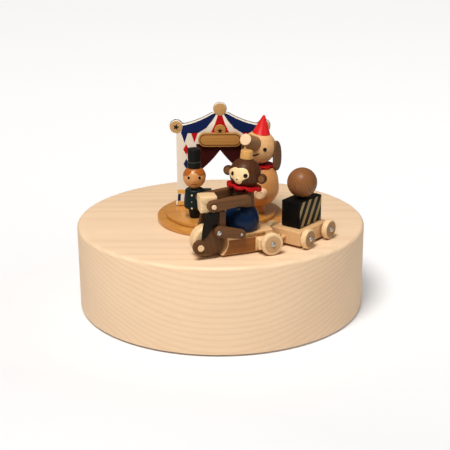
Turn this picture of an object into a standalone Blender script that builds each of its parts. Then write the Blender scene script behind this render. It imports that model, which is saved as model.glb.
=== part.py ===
"""Wooden music box: a round drum with a circus stage on top, and a scooter with a
trailer that a magnet under the deck draws round the stage.

Metres, +Z up. The origin is on the drum's axis, on the table, and the front is -Y.
The scooter and the trailer are each set out in a frame of their own on the deck:
X forward, Y outward from the drum's axis, Z up from the deck.
"""

import math

import bmesh
import bpy
from mathutils import Matrix, Vector

# General fits
CLEARANCE = 0.0003
OVERRUN = 0.002
BEARING_PLAY = 0.00025
WELD = 0.00001
SHARP_ANGLE = math.radians(35)

# Drum and its hollow: the deck's margin is measured from the scooter's centre line
DECK_MARGIN = 0.0255
DRUM_LIFT = 0.001
DRUM_FILLET = 0.0018
DRUM_WEB = 0.004
COVER_LEDGE = 0.006

# Winding disc, its foot ring and its arbor
FOOT_HEIGHT = 0.0012
FOOT_INSET = 0.004
FOOT_WIDTH = 0.008
DISC_RIM_GAP = 0.004
DISC_THICKNESS = 0.0055
DISC_EDGE = 0.0008
ARBOR_RADIUS = 0.0016
ARBOR_FLANGE_RADIUS = 0.008
ARBOR_FLANGE = 0.001
ARBOR_TAIL = 0.004
ARBOR_ENTRY = 0.008
WINDER_GAP = 0.0005

# Bottom cover and its screws
COVER_THICKNESS = 0.003
SCREW_HEAD_RADIUS = 0.0019
SCREW_HEAD = 0.001
SCREW_RADIUS = 0.0009
SCREW_BITE = 0.006
SCREW_COUNT = 3

# Spring barrel with its toothed plate and output shaft
BARREL_RADIUS = 0.0135
BARREL_BODY = 0.0088
BARREL_LID_SHARE = 0.5
PLATE_TEETH = 42
PLATE_TIP = 0.0171
PLATE_ROOT = 0.0143
PLATE_THICKNESS = 0.002
PLATE_TOOTH = 0.0008
SHAFT_RADIUS = 0.002

# Magnet arm
ARM_THICKNESS = 0.002
ARM_HEADROOM = 0.0016
ARM_REACH_GAP = 0.0025
ARM_DECK_GAP = 0.0008
ARM_HUB_RADIUS = 0.0055
ARM_END_RADIUS = 0.0055
ARM_MAGNET_RADIUS = 0.0038

# Pinned cylinder, its pinion and its end gear, set out along +X
PINION_TEETH = 14
PINION_TIP = 0.0058
PINION_ROOT = 0.0040
PINION_TOOTH = 0.0008
PINION_WIDTH = 0.0024
TOOTH_ENGAGEMENT = 0.0005
CYLINDER_RADIUS = 0.007
CYLINDER_LENGTH = 0.0217
PIN_HEIGHT = 0.0006
PIN_RADIUS = 0.0003
PIN_ROOT = 0.0004
PIN_COLUMNS = 16
PIN_STRIDE = 3
PIN_STEP = 5
PIN_PERIOD = 9
CYLINDER_ARBOR_RADIUS = 0.0012
END_GEAR_TEETH = 28
END_GEAR_TIP = 0.0074
END_GEAR_ROOT = 0.0063
END_GEAR_WIDTH = 0.0014
FINE_TOOTH = 0.0005
TOOTH_ROOT_SHARE = 1.15
GEAR_SPACE = 0.0004

# Tone comb
COMB_TEETH = 18
COMB_THICKNESS = 0.0008
COMB_TIP_GAP = 0.0003
COMB_SHORT = 0.0060
COMB_LONG = 0.0105
COMB_SPINE = 0.0032
COMB_SLOT_SHARE = 0.35
COMB_SCREW_RADIUS = 0.0013
COMB_SCREW_SHARES = (0.25, 0.75)
COMB_SCREW_HEAD = 0.001

# Governor: a toothed wheel and a fan
GOVERNOR_TEETH = 8
GOVERNOR_TIP = 0.0024
GOVERNOR_ROOT = 0.0014
GOVERNOR_RISE = math.radians(-22)
WHEEL_TEETH = 24
WHEEL_TIP = 0.0064
WHEEL_ROOT = 0.0054
WHEEL_WIDTH = 0.0012
GOVERNOR_ARBOR_RADIUS = 0.0008
WORM_RADIUS = 0.0016
WORM_GROOVE = 0.0004
WORM_TURNS = 5
WORM_GAP = 0.00015
FAN_RADIUS = 0.005
FAN_HEIGHT = 0.004
FAN_BLADE = 0.0006

# Bedplate with its bearing cheeks, comb ledge and governor bracket
BED_THICKNESS = 0.002
BED_MARGIN = 0.002
BED_EDGE = 0.001
BED_CORNER = 0.003
CHEEK_THICKNESS = 0.0016
CHEEK_WIDTH = 0.008
CHEEK_CAP = 0.004
BRACKET_DEPTH = 0.003
BRACKET_WIDTH = 0.004
BRACKET_ARM = 0.0015
BRACKET_STEP = 0.0005
FAN_BOSS_RADIUS = 0.002
FAN_BOSS_HEIGHT = 0.0025

# Stage: its rim is measured from the foot of the tent that it carries
STAGE_RIM = 0.0055
STAGE_STEP = 0.0043
STAGE_LOWER_TOP = 0.003
STAGE_UPPER_TOP = 0.0054
STAGE_EDGE = 0.0006

# Tent front and its sign, heights above the stage
TENT_FACE_Y = 0.0051
TENT_THICKNESS = 0.003
TENT_HALF_WIDTH = 0.0235
TENT_PILLAR = 0.0105
PLINTH_FLARE = 0.0009
PLINTH_HEIGHT = 0.0026
TENT_DISC_RADIUS = 0.0034
SIDE_DISC_SPAN = (-90, 160)
PEAK_DISC_SPAN = (-30, 90)
SIDE_DISC_HEIGHT = 0.0438
PEAK_DISC_HEIGHT = 0.0533
ROOF_SAG = 0.00095
ROOF_SIDE_DROP = 0.0011
CURTAIN_APEX = 0.031
CURTAIN_FOLD_HALF = 0.0085
CURTAIN_FOLD_HEIGHT = 0.0216
CURTAIN_HEM = 0.0192
CURTAIN_BULGE = 0.0005
SIGN_HALF_WIDTH = 0.01175
SIGN_RISE = 0.0022
SIGN_HEIGHT = 0.0077
SIGN_THICKNESS = 0.0015
SIGN_DISC_RADIUS = 0.003
SIGN_DISC_RISE = 0.0014

# Ringmaster, heights above the stage
RINGMASTER_PLACE = (-0.0135, -0.0150)
LEGS_RADIUS = 0.0033
LEGS_FOOT_RADIUS = 0.0028
LEGS_HEIGHT = 0.0050
COAT_RADIUS = 0.0057
COAT_CHEST_RADIUS = 0.0050
COAT_HEM = 0.0016
COAT_TOP = 0.0160
COAT_SHOULDER = 0.0018
RING_HEAD_RADIUS = 0.00593
RING_HEAD_CENTRE = 0.0221
TOP_HAT_FOOT = 0.0270
TOP_HAT_BRIM_RADIUS = 0.0036
TOP_HAT_BRIM_TOP = 0.0302
TOP_HAT_RADIUS = 0.0033
TOP_HAT_CROWN_RADIUS = 0.0035
TOP_HAT_TOP = 0.0374
SLEEVE_RADIUS = 0.0013
SLEEVE_REACH = 0.0089
SLEEVE_HEIGHT = 0.0146

# Elephant, heights above the stage, its face turned by ELEPHANT_TURN
ELEPHANT_PLACE = (0.0208, -0.0069)
ELEPHANT_TURN = math.radians(-22)
BELLY_RADIUS = 0.0104
BELLY_HEIGHT = 0.0117
BELLY_DROP = 0.0080
BELLY_RISE = 0.0200
BODY_TOP = 0.0244
POST_RADIUS = 0.0030
FORELEG_RADIUS = 0.0028
FORELEG_HEIGHT = 0.0124
FORELEG_HALF_GAP = 0.0045
FORELEG_REACH = 0.0128
ELEPHANT_RUFF_RADIUS = 0.0086
ELEPHANT_RUFF_WAVE = 0.00045
ELEPHANT_RUFF = 0.0016
ELEPHANT_HEAD_RADIUS = 0.00835
ELEPHANT_HEAD_CENTRE = 0.0348
ELEPHANT_HEAD_SHIFT = -0.0007
TRUNK_RADIUS = 0.0033
TRUNK_END_RADIUS = 0.0030
TRUNK_REACH = 0.0190
TRUNK_RISE = math.radians(33)
TRUNK_ROOT = 0.0060
EAR_THICKNESS = 0.0018
EAR_TOP_RADIUS = 0.0028
EAR_BOTTOM_RADIUS = 0.0040
EAR_TOP_HEIGHT = 0.0010
EAR_BOTTOM_HEIGHT = -0.0073
EAR_SETBACK = 0.0023
EAR_FLARE = math.radians(7)
CONE_HAT_RADIUS = 0.0043
CONE_HAT_TIP_RADIUS = 0.0007
CONE_HAT_HEIGHT = 0.0105
CONE_HAT_FOOT = 0.0073
CONE_HAT_LEAN = math.radians(9)

# Scooter frame: its heading, and the lane from the stage's rim to its centre line
SCOOTER_HEADING = math.radians(202.2)
SCOOTER_LANE = 0.0178
ROLLING_GAP = 0.0003

# Scooter body
BODY_FRONT = 0.0232
FENDER_GAP = 0.0017
BODY_REAR = -0.00395
BODY_HALF_WIDTH = 0.0071
BODY_BOTTOM = 0.0010
BODY_TOP_HEIGHT = 0.0114
BODY_CORNER = 0.0015
GROOVE_DEPTH = 0.0012
GROOVE_BOTTOM = 0.0087
GROOVE_TOP = 0.0100
GROOVE_FRONT = 0.01305
GROOVE_REAR = 0.00055
COWL_FRONT = 0.00655
COWL_REAR = -0.00345
COWL_OUTER = 0.0108
COWL_BOTTOM = 0.0025
COWL_TOP = 0.0104
TONGUE_HALF_WIDTH = 0.0017
TONGUE_BOTTOM = 0.0026
TONGUE_THICKNESS = 0.0014
HITCH_PLACE = (-0.0098, 0.0026)
HITCH_PIN_RADIUS = 0.0008
HITCH_PIN_TOP = 0.0066
MAGNET_PLACE = 0.008
MAGNET_RADIUS = 0.0035
MAGNET_BOTTOM = 0.0004
MAGNET_THICKNESS = 0.002

# Front wheel, fork plates, leg shield, handlebar and headlight
FRONT_WHEEL_PLACE = 0.02875
FRONT_WHEEL_RADIUS = 0.0078
FRONT_WHEEL_WIDTH = 0.007
FRONT_WHEEL_EDGE = 0.0016
AXLE_RADIUS = 0.0008
AXLE_HEAD_RADIUS = 0.0013
AXLE_HEAD = 0.0007
AXLE_SEAT = 0.0012
FORK_INNER = 0.0046
FORK_THICKNESS = 0.0025
FORK_DISC_RADIUS = 0.0069
FORK_LOBE_RADIUS = 0.0037
FORK_LOBE_PLACE = (0.03415, 0.0065)
FORK_TOP = 0.0223
FORK_TOP_FRONT = 0.0319
FORK_LOBE_SPAN = (105, -100)
FORK_DISC_SPAN = (-60, -210)
SHIELD_FRONT = 0.02445
SHIELD_THICKNESS = 0.0026
SHIELD_HALF_WIDTH = 0.0071
SHIELD_BOTTOM = 0.0140
SHIELD_NOTCH = 0.0168
SHIELD_TOP = 0.0260
HANDLEBAR_RADIUS = 0.0011
HANDLEBAR_PLACE = (0.02815, 0.0272)
HANDLEBAR_HALF_LENGTH = 0.0104
HEADLIGHT_HALF_WIDTH = 0.0052
HEADLIGHT_FRONT = 0.0324
HEADLIGHT_TOP = 0.0322
HEADLIGHT_BACK_TOP = 0.0302
HEADLIGHT_EDGE = 0.0012

# Rear wheels
REAR_AXLE_PLACE = -0.00085
REAR_WHEEL_RADIUS = 0.0056
REAR_WHEEL_INNER = 0.0112
REAR_WHEEL_WIDTH = 0.003
WHEEL_EDGE = 0.0007

# Monkey, set out along an axis that leans back from its seat
SEAT_PLACE = 0.00985
SEAT_CENTRE_HEIGHT = 0.016
MONKEY_LEAN = math.radians(4.7)
TROUSERS_RADIUS = 0.0088
TROUSERS_HALF_HEIGHT = 0.0094
TROUSERS_TOP = 0.0075
TORSO_RADIUS = 0.0059
TORSO_NECK_RADIUS = 0.0050
TORSO_TOP = 0.0152
MONKEY_RUFF_RADIUS = 0.0083
MONKEY_RUFF_WAVE = 0.00045
MONKEY_RUFF = 0.0015
MONKEY_HEAD_RADIUS = 0.00775
MONKEY_HEAD_CENTRE = 0.02328
MONKEY_HAT_RADIUS = 0.00295
MONKEY_HAT_TOP_RADIUS = 0.00265
MONKEY_HAT_HEIGHT = 0.0040
MONKEY_HAT_SEAT = 0.00717
MONKEY_FACE_TURN = math.radians(42.8)
MONKEY_EAR_RADIUS = 0.00245
MONKEY_EAR_THICKNESS = 0.0022
MONKEY_EAR_REACH = 0.0090
LIMB_THICKNESS = 0.0035
SHOULDER_PLACE = (0.00975, 0.0284)
SHOULDER_RADIUS = 0.0022
HAND_RADIUS = 0.0029
LEG_THICKNESS = 0.0027
LEG_RADIUS = 0.0023
FOOT_PLACE = (0.02565, 0.0140)
HIP_PLACE = (0.01395, 0.0113)

# Trailer frame, tray, load and wheels: the tray's front lies behind the hitch pin
TRAILER_HEADING = math.radians(232)
TRAILER_OUTSET = 0.0023
HITCH_REACH = 0.00224
TRAY_REAR = -0.00941
TRAY_HALF_WIDTH = 0.0089
TRAY_BOTTOM = 0.0013
TRAY_TOP = 0.0087
TRAY_CORNER = 0.0006
TRAILER_FRONT_AXLE = 0.0130
TRAILER_REAR_AXLE = -0.0060
TRAILER_WHEEL_RADIUS = 0.0050
TRAILER_WHEEL_INNER = 0.0097
TRAILER_WHEEL_WIDTH = 0.003
EYE_RADIUS = 0.0022
EYE_THICKNESS = 0.0014
CRATE_FRONT = 0.0123
CRATE_REAR = -0.0078
CRATE_HALF_WIDTH = 0.0055
CRATE_HEIGHT = 0.0134
CRATE_EDGE = 0.0005
CARGO_RADIUS = 0.0076
CARGO_FLAT = 0.0003

# Facets round a full turn or along an outline's arc, and lobes of a ruff
DRUM_STEPS = 56
DISC_STEPS = 36
LARGE_STEPS = 18
MEDIUM_STEPS = 14
SMALL_STEPS = 10
SIDE_DISC_STEPS = 12
PEAK_DISC_STEPS = 7
FORK_LOBE_STEPS = 10
FORK_DISC_STEPS = 9
RUFF_LOBES = 10
RUFF_STEPS = 40

# Radii that follow from the sizes above, from the stage outwards
STAGE_UPPER_RADIUS = TENT_HALF_WIDTH + PLINTH_FLARE + STAGE_RIM
STAGE_LOWER_RADIUS = STAGE_UPPER_RADIUS + STAGE_STEP
SCOOTER_RADIUS = STAGE_LOWER_RADIUS + SCOOTER_LANE
TRAILER_RADIUS = SCOOTER_RADIUS + TRAILER_OUTSET
DRUM_RADIUS = SCOOTER_RADIUS + DECK_MARGIN
CAVITY_RADIUS = SCOOTER_RADIUS + ARM_END_RADIUS + ARM_REACH_GAP
RECESS_RADIUS = CAVITY_RADIUS + COVER_LEDGE
DISC_RADIUS = RECESS_RADIUS - DISC_RIM_GAP
FOOT_OUTER = DISC_RADIUS - FOOT_INSET
FOOT_INNER = FOOT_OUTER - FOOT_WIDTH

# Heights that follow from the sizes above, from the table upwards
DISC_BOTTOM = FOOT_HEIGHT + CLEARANCE
DISC_TOP = DISC_BOTTOM + DISC_THICKNESS
FLANGE_TOP = DISC_TOP + CLEARANCE + ARBOR_FLANGE
COVER_BOTTOM = FLANGE_TOP + WINDER_GAP
COVER_TOP = COVER_BOTTOM + COVER_THICKNESS
SHOULDER_HEIGHT = COVER_TOP + CLEARANCE
BED_BOTTOM = COVER_TOP + CLEARANCE
BED_TOP = BED_BOTTOM + BED_THICKNESS
BARREL_BOTTOM = BED_TOP + CLEARANCE
PLATE_BOTTOM = BARREL_BOTTOM + BARREL_BODY
PLATE_TOP = PLATE_BOTTOM + PLATE_THICKNESS
CYLINDER_HEIGHT = PLATE_TOP + PINION_TIP - TOOTH_ENGAGEMENT
ARM_BOTTOM = CYLINDER_HEIGHT + CYLINDER_RADIUS + PIN_HEIGHT + ARM_HEADROOM
ARM_TOP = ARM_BOTTOM + ARM_THICKNESS
CAVITY_TOP = ARM_TOP + ARM_DECK_GAP
DECK_HEIGHT = CAVITY_TOP + DRUM_WEB
STAGE_TOP = DECK_HEIGHT + STAGE_UPPER_TOP
ARBOR_TOP = BARREL_BOTTOM + ARBOR_ENTRY
SIGN_BOTTOM = CURTAIN_APEX + SIGN_RISE
SIGN_TOP = SIGN_BOTTOM + SIGN_HEIGHT
SIGN_DISC_HEIGHT = SIGN_TOP + SIGN_DISC_RISE

# Places along the movement's cylinder
PINION_START = PLATE_ROOT + CLEARANCE
PINION_END = PINION_START + PINION_WIDTH
INNER_CHEEK = max(PINION_END, PLATE_TIP) + 2 * CLEARANCE
CYLINDER_START = INNER_CHEEK + CHEEK_THICKNESS + 2 * CLEARANCE
CYLINDER_END = CYLINDER_START + CYLINDER_LENGTH
END_GEAR_START = CYLINDER_END + CLEARANCE
OUTER_CHEEK = END_GEAR_START + END_GEAR_WIDTH + CLEARANCE
OUTER_CHEEK_END = OUTER_CHEEK + CHEEK_THICKNESS
WHEEL_START = OUTER_CHEEK_END + 3 * CLEARANCE
GOVERNOR_DISTANCE = END_GEAR_TIP + GOVERNOR_ROOT + GEAR_SPACE
GOVERNOR_Y = GOVERNOR_DISTANCE * math.cos(GOVERNOR_RISE)
GOVERNOR_Z = CYLINDER_HEIGHT + GOVERNOR_DISTANCE * math.sin(GOVERNOR_RISE)
FAN_X = WHEEL_START + WHEEL_WIDTH / 2
FAN_Y = GOVERNOR_Y + WHEEL_TIP + WORM_GAP + WORM_RADIUS
COMB_PITCH = CYLINDER_LENGTH / (COMB_TEETH + 1)
COMB_TIP_Y = -(CYLINDER_RADIUS + PIN_HEIGHT + COMB_TIP_GAP)
COMB_BACK_Y = COMB_TIP_Y - COMB_LONG - COMB_SPINE
CHEEK_TOP = CYLINDER_HEIGHT + CHEEK_CAP

parts = bpy.data.collections.new("music_box")
cutters = bpy.data.collections.new("music_box_cutters")


def clear_scene():
    for obj in list(bpy.data.objects):
        bpy.data.objects.remove(obj)
    for group in (parts, cutters):
        bpy.context.scene.collection.children.link(group)


def material(name, colour, roughness, metallic=0.0):
    made = bpy.data.materials.new(name)
    made.use_nodes = True
    surface = made.node_tree.nodes["Principled BSDF"]
    surface.inputs["Base Color"].default_value = (*colour, 1.0)
    surface.inputs["Roughness"].default_value = roughness
    surface.inputs["Metallic"].default_value = metallic
    return made


MAPLE = material("maple", (0.80, 0.61, 0.42), 0.55)
PLYWOOD = material("plywood", (0.62, 0.45, 0.28), 0.7)
GOLDEN_LACQUER = material("golden_lacquer", (0.62, 0.33, 0.09), 0.25)
TAN_WOOD = material("tan_wood", (0.62, 0.36, 0.16), 0.5)
WALNUT = material("walnut", (0.16, 0.08, 0.05), 0.55)
WHITE_PAINT = material("white_paint", (0.82, 0.78, 0.72), 0.45)
RED_PAINT = material("red_paint", (0.60, 0.02, 0.02), 0.35)
NAVY_PAINT = material("navy_paint", (0.01, 0.05, 0.17), 0.4)
TEAL_PAINT = material("teal_paint", (0.02, 0.05, 0.07), 0.45)
BLACK_PAINT = material("black_paint", (0.01, 0.01, 0.01), 0.4)
STEEL = material("steel", (0.55, 0.55, 0.56), 0.3, 1.0)
BRASS = material("brass", (0.70, 0.50, 0.22), 0.35, 1.0)
CAST_ZINC = material("cast_zinc", (0.45, 0.45, 0.47), 0.5, 1.0)
RUBBER = material("rubber", (0.02, 0.02, 0.02), 0.85)


def baked(obj):
    """The object's evaluated shape as a welded mesh, shaded smooth up to SHARP_ANGLE."""
    bpy.context.view_layer.update()
    graph = bpy.context.evaluated_depsgraph_get()
    mesh = bpy.data.meshes.new_from_object(obj.evaluated_get(graph))
    bpy.data.objects.remove(obj)
    shape = bmesh.new()
    shape.from_mesh(mesh)
    bmesh.ops.remove_doubles(shape, verts=shape.verts, dist=WELD)
    shape.to_mesh(mesh)
    shape.free()
    mesh.shade_smooth()
    mesh.set_sharp_from_angle(angle=SHARP_ANGLE)
    return mesh


def draft(data):
    """A helper object that holds data until it is baked."""
    obj = bpy.data.objects.new("draft", data)
    cutters.objects.link(obj)
    return obj


def from_bmesh(shape):
    mesh = bpy.data.meshes.new("shape")
    shape.to_mesh(mesh)
    shape.free()
    return mesh


def rounded(mesh, width, segments=1):
    """The mesh with its sharp edges rounded by a Bevel."""
    obj = draft(mesh)
    bevel = obj.modifiers.new("Round", "BEVEL")
    bevel.width = width
    bevel.segments = segments
    bevel.limit_method = "ANGLE"
    bevel.angle_limit = SHARP_ANGLE
    return baked(obj)


def turned(profile, steps, ring=False):
    """A turned shape about Z from (radius, height) points, top to bottom down its outer side."""
    count = len(profile)
    edges = [(i, i + 1) for i in range(count - 1)]
    if ring:
        edges.append((count - 1, 0))
    mesh = bpy.data.meshes.new("profile")
    mesh.from_pydata([(radius, 0, height) for radius, height in profile], edges, [])
    obj = draft(mesh)
    screw = obj.modifiers.new("Turn", "SCREW")
    screw.steps = steps
    screw.render_steps = steps
    screw.use_merge_vertices = True
    screw.merge_threshold = WELD
    return baked(obj)


def box(size, edge=0):
    shape = bmesh.new()
    bmesh.ops.create_cube(shape, size=1)
    bmesh.ops.scale(shape, vec=size, verts=shape.verts)
    mesh = from_bmesh(shape)
    return rounded(mesh, edge) if edge else mesh


def rod(radius, length, sides=SMALL_STEPS, end_radius=None):
    """A rod along Z, centred, end_radius being its radius at +Z."""
    shape = bmesh.new()
    far = radius if end_radius is None else end_radius
    bmesh.ops.create_cone(
        shape, cap_ends=True, segments=sides, radius1=radius, radius2=far, depth=length
    )
    return baked(draft(from_bmesh(shape)))


def ball(radius, segments=MEDIUM_STEPS):
    shape = bmesh.new()
    bmesh.ops.create_uvsphere(
        shape, u_segments=segments, v_segments=segments // 2, radius=radius
    )
    return baked(draft(from_bmesh(shape)))


def plate(outlines, thickness, edge=0):
    """A flat plate in XY, centred in Z. The first outline is its rim, the rest are holes."""
    curve = bpy.data.curves.new("outline", "CURVE")
    curve.dimensions = "2D"
    curve.fill_mode = "BOTH"
    curve.extrude = thickness / 2
    for outline in outlines:
        spline = curve.splines.new("POLY")
        spline.points.add(len(outline) - 1)
        for point, (x, y) in zip(spline.points, outline):
            point.co = (x, y, 0, 1)
        spline.use_cyclic_u = True
    mesh = baked(draft(curve))
    return rounded(mesh, edge) if edge else mesh


def arc(centre, radius, start, end, steps):
    """Points on an arc, from one angle in degrees to another."""
    angles = [math.radians(start + (end - start) * i / steps) for i in range(steps + 1)]
    return [(centre[0] + radius * math.cos(a), centre[1] + radius * math.sin(a)) for a in angles]


def circle(centre, radius, steps=SMALL_STEPS):
    return arc(centre, radius, 0, 360, steps)[:-1]


def capsule(start, end, start_radius, end_radius, steps=6):
    """The outline round two circles and the straight sides between them."""
    heading = math.degrees(math.atan2(end[1] - start[1], end[0] - start[0]))
    gap = math.dist(start, end)
    lean = math.degrees(math.asin((start_radius - end_radius) / gap))
    side = 90 - lean
    near = arc(start, start_radius, heading + side, heading + 360 - side, steps)
    far = arc(end, end_radius, heading - side, heading + side, steps)
    return near + far


def scalloped(radius, wave, lobes=RUFF_LOBES, steps=RUFF_STEPS):
    """A round outline with shallow scallops."""
    angles = [2 * math.pi * i / steps for i in range(steps)]
    radii = [radius + wave * math.cos(lobes * a) for a in angles]
    return [(r * math.cos(a), r * math.sin(a)) for r, a in zip(radii, angles)]


def gear(teeth, tip, root, tooth, first=0.0):
    """The outline of a toothed wheel whose teeth widen to the root, one of them at the angle first."""
    corners = (
        (root, -TOOTH_ROOT_SHARE),
        (tip, -1),
        (tip, 1),
        (root, TOOTH_ROOT_SHARE),
    )
    points = []
    for index in range(teeth):
        middle = first + 2 * math.pi * index / teeth
        for radius, share in corners:
            angle = middle + math.asin(share * tooth / 2 / radius)
            points.append((radius * math.cos(angle), radius * math.sin(angle)))
    return points


def egg(radius, rise, drop, top, bottom, steps=9):
    """An egg's profile, flat at top and bottom, about its widest level at height 0."""
    start = math.asin(min(1, top / rise))
    end = math.asin(max(-1, bottom / drop))
    points = []
    for index in range(steps + 1):
        angle = start + (end - start) * index / steps
        height = (rise if angle > 0 else drop) * math.sin(angle)
        points.append((radius * math.cos(angle), height))
    return [(0, points[0][1]), *points, (0, points[-1][1])]


def lifted(profile, height):
    return [(radius, level + height) for radius, level in profile]


def empty(name, place, turn=(0, 0, 0), parent=None):
    made = bpy.data.objects.new(name, None)
    made.location = place
    made.rotation_euler = turn
    made.parent = parent
    parts.objects.link(made)
    return made


def part(name, mesh, finish, place=(0, 0, 0), turn=(0, 0, 0), parent=None):
    solid = bpy.data.objects.new(name, mesh)
    if not mesh.materials:
        mesh.materials.append(finish)
    solid.location = place
    solid.rotation_euler = turn
    solid.parent = parent
    parts.objects.link(solid)
    return solid


def helper(mesh, place=(0, 0, 0), turn=(0, 0, 0), parent=None):
    """A shape that a Boolean adds to a part or cuts from it."""
    tool = bpy.data.objects.new("helper", mesh)
    tool.location = place
    tool.rotation_euler = turn
    tool.parent = parent
    tool.hide_render = True
    tool.display_type = "WIRE"
    cutters.objects.link(tool)
    return tool


def combine(solid, tool, operation):
    step = solid.modifiers.new(operation.title(), "BOOLEAN")
    step.operation = operation
    step.solver = "EXACT"
    step.object = tool


def fuse(solid, mesh, place=(0, 0, 0), turn=(0, 0, 0), parent=None):
    combine(solid, helper(mesh, place, turn, parent), "UNION")


def cut(solid, mesh, place=(0, 0, 0), turn=(0, 0, 0), parent=None):
    combine(solid, helper(mesh, place, turn, parent), "DIFFERENCE")


# Turns that lay a shape made along Z, or in XY, along another axis
ALONG_X = (0, math.pi / 2, 0)
ALONG_Y = (math.pi / 2, 0, 0)
UPRIGHT = (math.pi / 2, 0, 0)
ACROSS_X = (math.pi / 2, 0, math.pi / 2)


def build_drum():
    """The drum is hollow from below, with a wider recess for the cover and the winding disc."""
    fillet = arc(
        (DRUM_RADIUS - DRUM_FILLET, DECK_HEIGHT - DRUM_FILLET), DRUM_FILLET, 90, 0, 4
    )
    profile = [
        (0, DECK_HEIGHT),
        *fillet,
        (DRUM_RADIUS, DRUM_LIFT),
        (RECESS_RADIUS, DRUM_LIFT),
        (RECESS_RADIUS, SHOULDER_HEIGHT),
        (CAVITY_RADIUS, SHOULDER_HEIGHT),
        (CAVITY_RADIUS, CAVITY_TOP),
        (0, CAVITY_TOP),
    ]
    drum = part("drum", turned(profile, DRUM_STEPS), MAPLE)
    depth = SCREW_BITE + CLEARANCE + OVERRUN
    pilot = rod(SCREW_RADIUS + CLEARANCE, depth)
    for x, y in screw_places():
        cut(drum, pilot, (x, y, SHOULDER_HEIGHT - OVERRUN + depth / 2))


def screw_places():
    middle = (CAVITY_RADIUS + RECESS_RADIUS) / 2
    return arc((0, 0), middle, 90, 90 + 360, SCREW_COUNT)[:-1]


def build_cover():
    """The bottom cover sits against the drum's shoulder, with a countersunk screw at each place."""
    height = COVER_TOP - COVER_BOTTOM
    middle = (COVER_TOP + COVER_BOTTOM) / 2
    rim = circle((0, 0), RECESS_RADIUS - CLEARANCE, DISC_STEPS)
    hole = circle((0, 0), ARBOR_RADIUS + CLEARANCE)
    cover = part("bottom_cover", plate([rim, hole], height), PLYWOOD, (0, 0, middle))
    head_seat = COVER_BOTTOM + CLEARANCE + SCREW_HEAD + CLEARANCE
    sink = rod(SCREW_HEAD_RADIUS + CLEARANCE, 2 * (head_seat - COVER_BOTTOM))
    bore = rod(SCREW_RADIUS + CLEARANCE, 2 * height)
    shank_top = SHOULDER_HEIGHT + SCREW_BITE - CLEARANCE
    head_bottom = COVER_BOTTOM + CLEARANCE
    screw = turned(
        [
            (0, shank_top),
            (SCREW_RADIUS, shank_top),
            (SCREW_RADIUS, head_bottom + SCREW_HEAD),
            (SCREW_HEAD_RADIUS, head_bottom + SCREW_HEAD),
            (SCREW_HEAD_RADIUS, head_bottom),
            (0, head_bottom),
        ],
        SMALL_STEPS,
    )
    for number, (x, y) in enumerate(screw_places(), 1):
        cut(cover, sink, (x, y, COVER_BOTTOM))
        cut(cover, bore, (x, y, middle))
        part(f"cover_screw_{number}", screw, STEEL, (x, y, 0))


def build_winder():
    """The winding disc under the drum stands on a rubber ring and turns the arbor."""
    bore = ARBOR_RADIUS + CLEARANCE
    disc = [
        (bore, DISC_TOP),
        (DISC_RADIUS - DISC_EDGE, DISC_TOP),
        (DISC_RADIUS, DISC_TOP - DISC_EDGE),
        (DISC_RADIUS, DISC_BOTTOM + DISC_EDGE),
        (DISC_RADIUS - DISC_EDGE, DISC_BOTTOM),
        (bore, DISC_BOTTOM),
    ]
    part("winding_disc", turned(disc, DISC_STEPS, ring=True), MAPLE)
    ring = [
        (FOOT_INNER, FOOT_HEIGHT),
        (FOOT_OUTER, FOOT_HEIGHT),
        (FOOT_OUTER, 0),
        (FOOT_INNER, 0),
    ]
    part("foot_ring", turned(ring, DISC_STEPS, ring=True), RUBBER)
    flange_bottom = DISC_TOP + CLEARANCE
    arbor = [
        (0, ARBOR_TOP),
        (ARBOR_RADIUS, ARBOR_TOP),
        (ARBOR_RADIUS, FLANGE_TOP),
        (ARBOR_FLANGE_RADIUS, FLANGE_TOP),
        (ARBOR_FLANGE_RADIUS, flange_bottom),
        (ARBOR_RADIUS, flange_bottom),
        (ARBOR_RADIUS, flange_bottom - ARBOR_TAIL),
        (0, flange_bottom - ARBOR_TAIL),
    ]
    part("winding_arbor", turned(arbor, MEDIUM_STEPS), STEEL)


def build_barrel(drive):
    """The spring barrel carries the toothed plate and the shaft that turns the magnet arm."""
    lid = PLATE_BOTTOM + PLATE_THICKNESS * BARREL_LID_SHARE
    bore = ARBOR_RADIUS + CLEARANCE
    bore_top = ARBOR_TOP + CLEARANCE
    profile = [
        (0, ARM_TOP),
        (SHAFT_RADIUS, ARM_TOP),
        (SHAFT_RADIUS, lid),
        (BARREL_RADIUS, lid),
        (BARREL_RADIUS, BARREL_BOTTOM),
        (bore, BARREL_BOTTOM),
        (bore, bore_top),
        (0, bore_top),
    ]
    barrel = part("spring_barrel", turned(profile, LARGE_STEPS), BRASS, parent=drive)
    half_pitch = math.pi / PLATE_TEETH
    outline = gear(PLATE_TEETH, PLATE_TIP, PLATE_ROOT, PLATE_TOOTH, half_pitch)
    middle = (PLATE_BOTTOM + PLATE_TOP) / 2
    fuse(barrel, plate([outline], PLATE_THICKNESS), (0, 0, middle), parent=drive)


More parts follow.
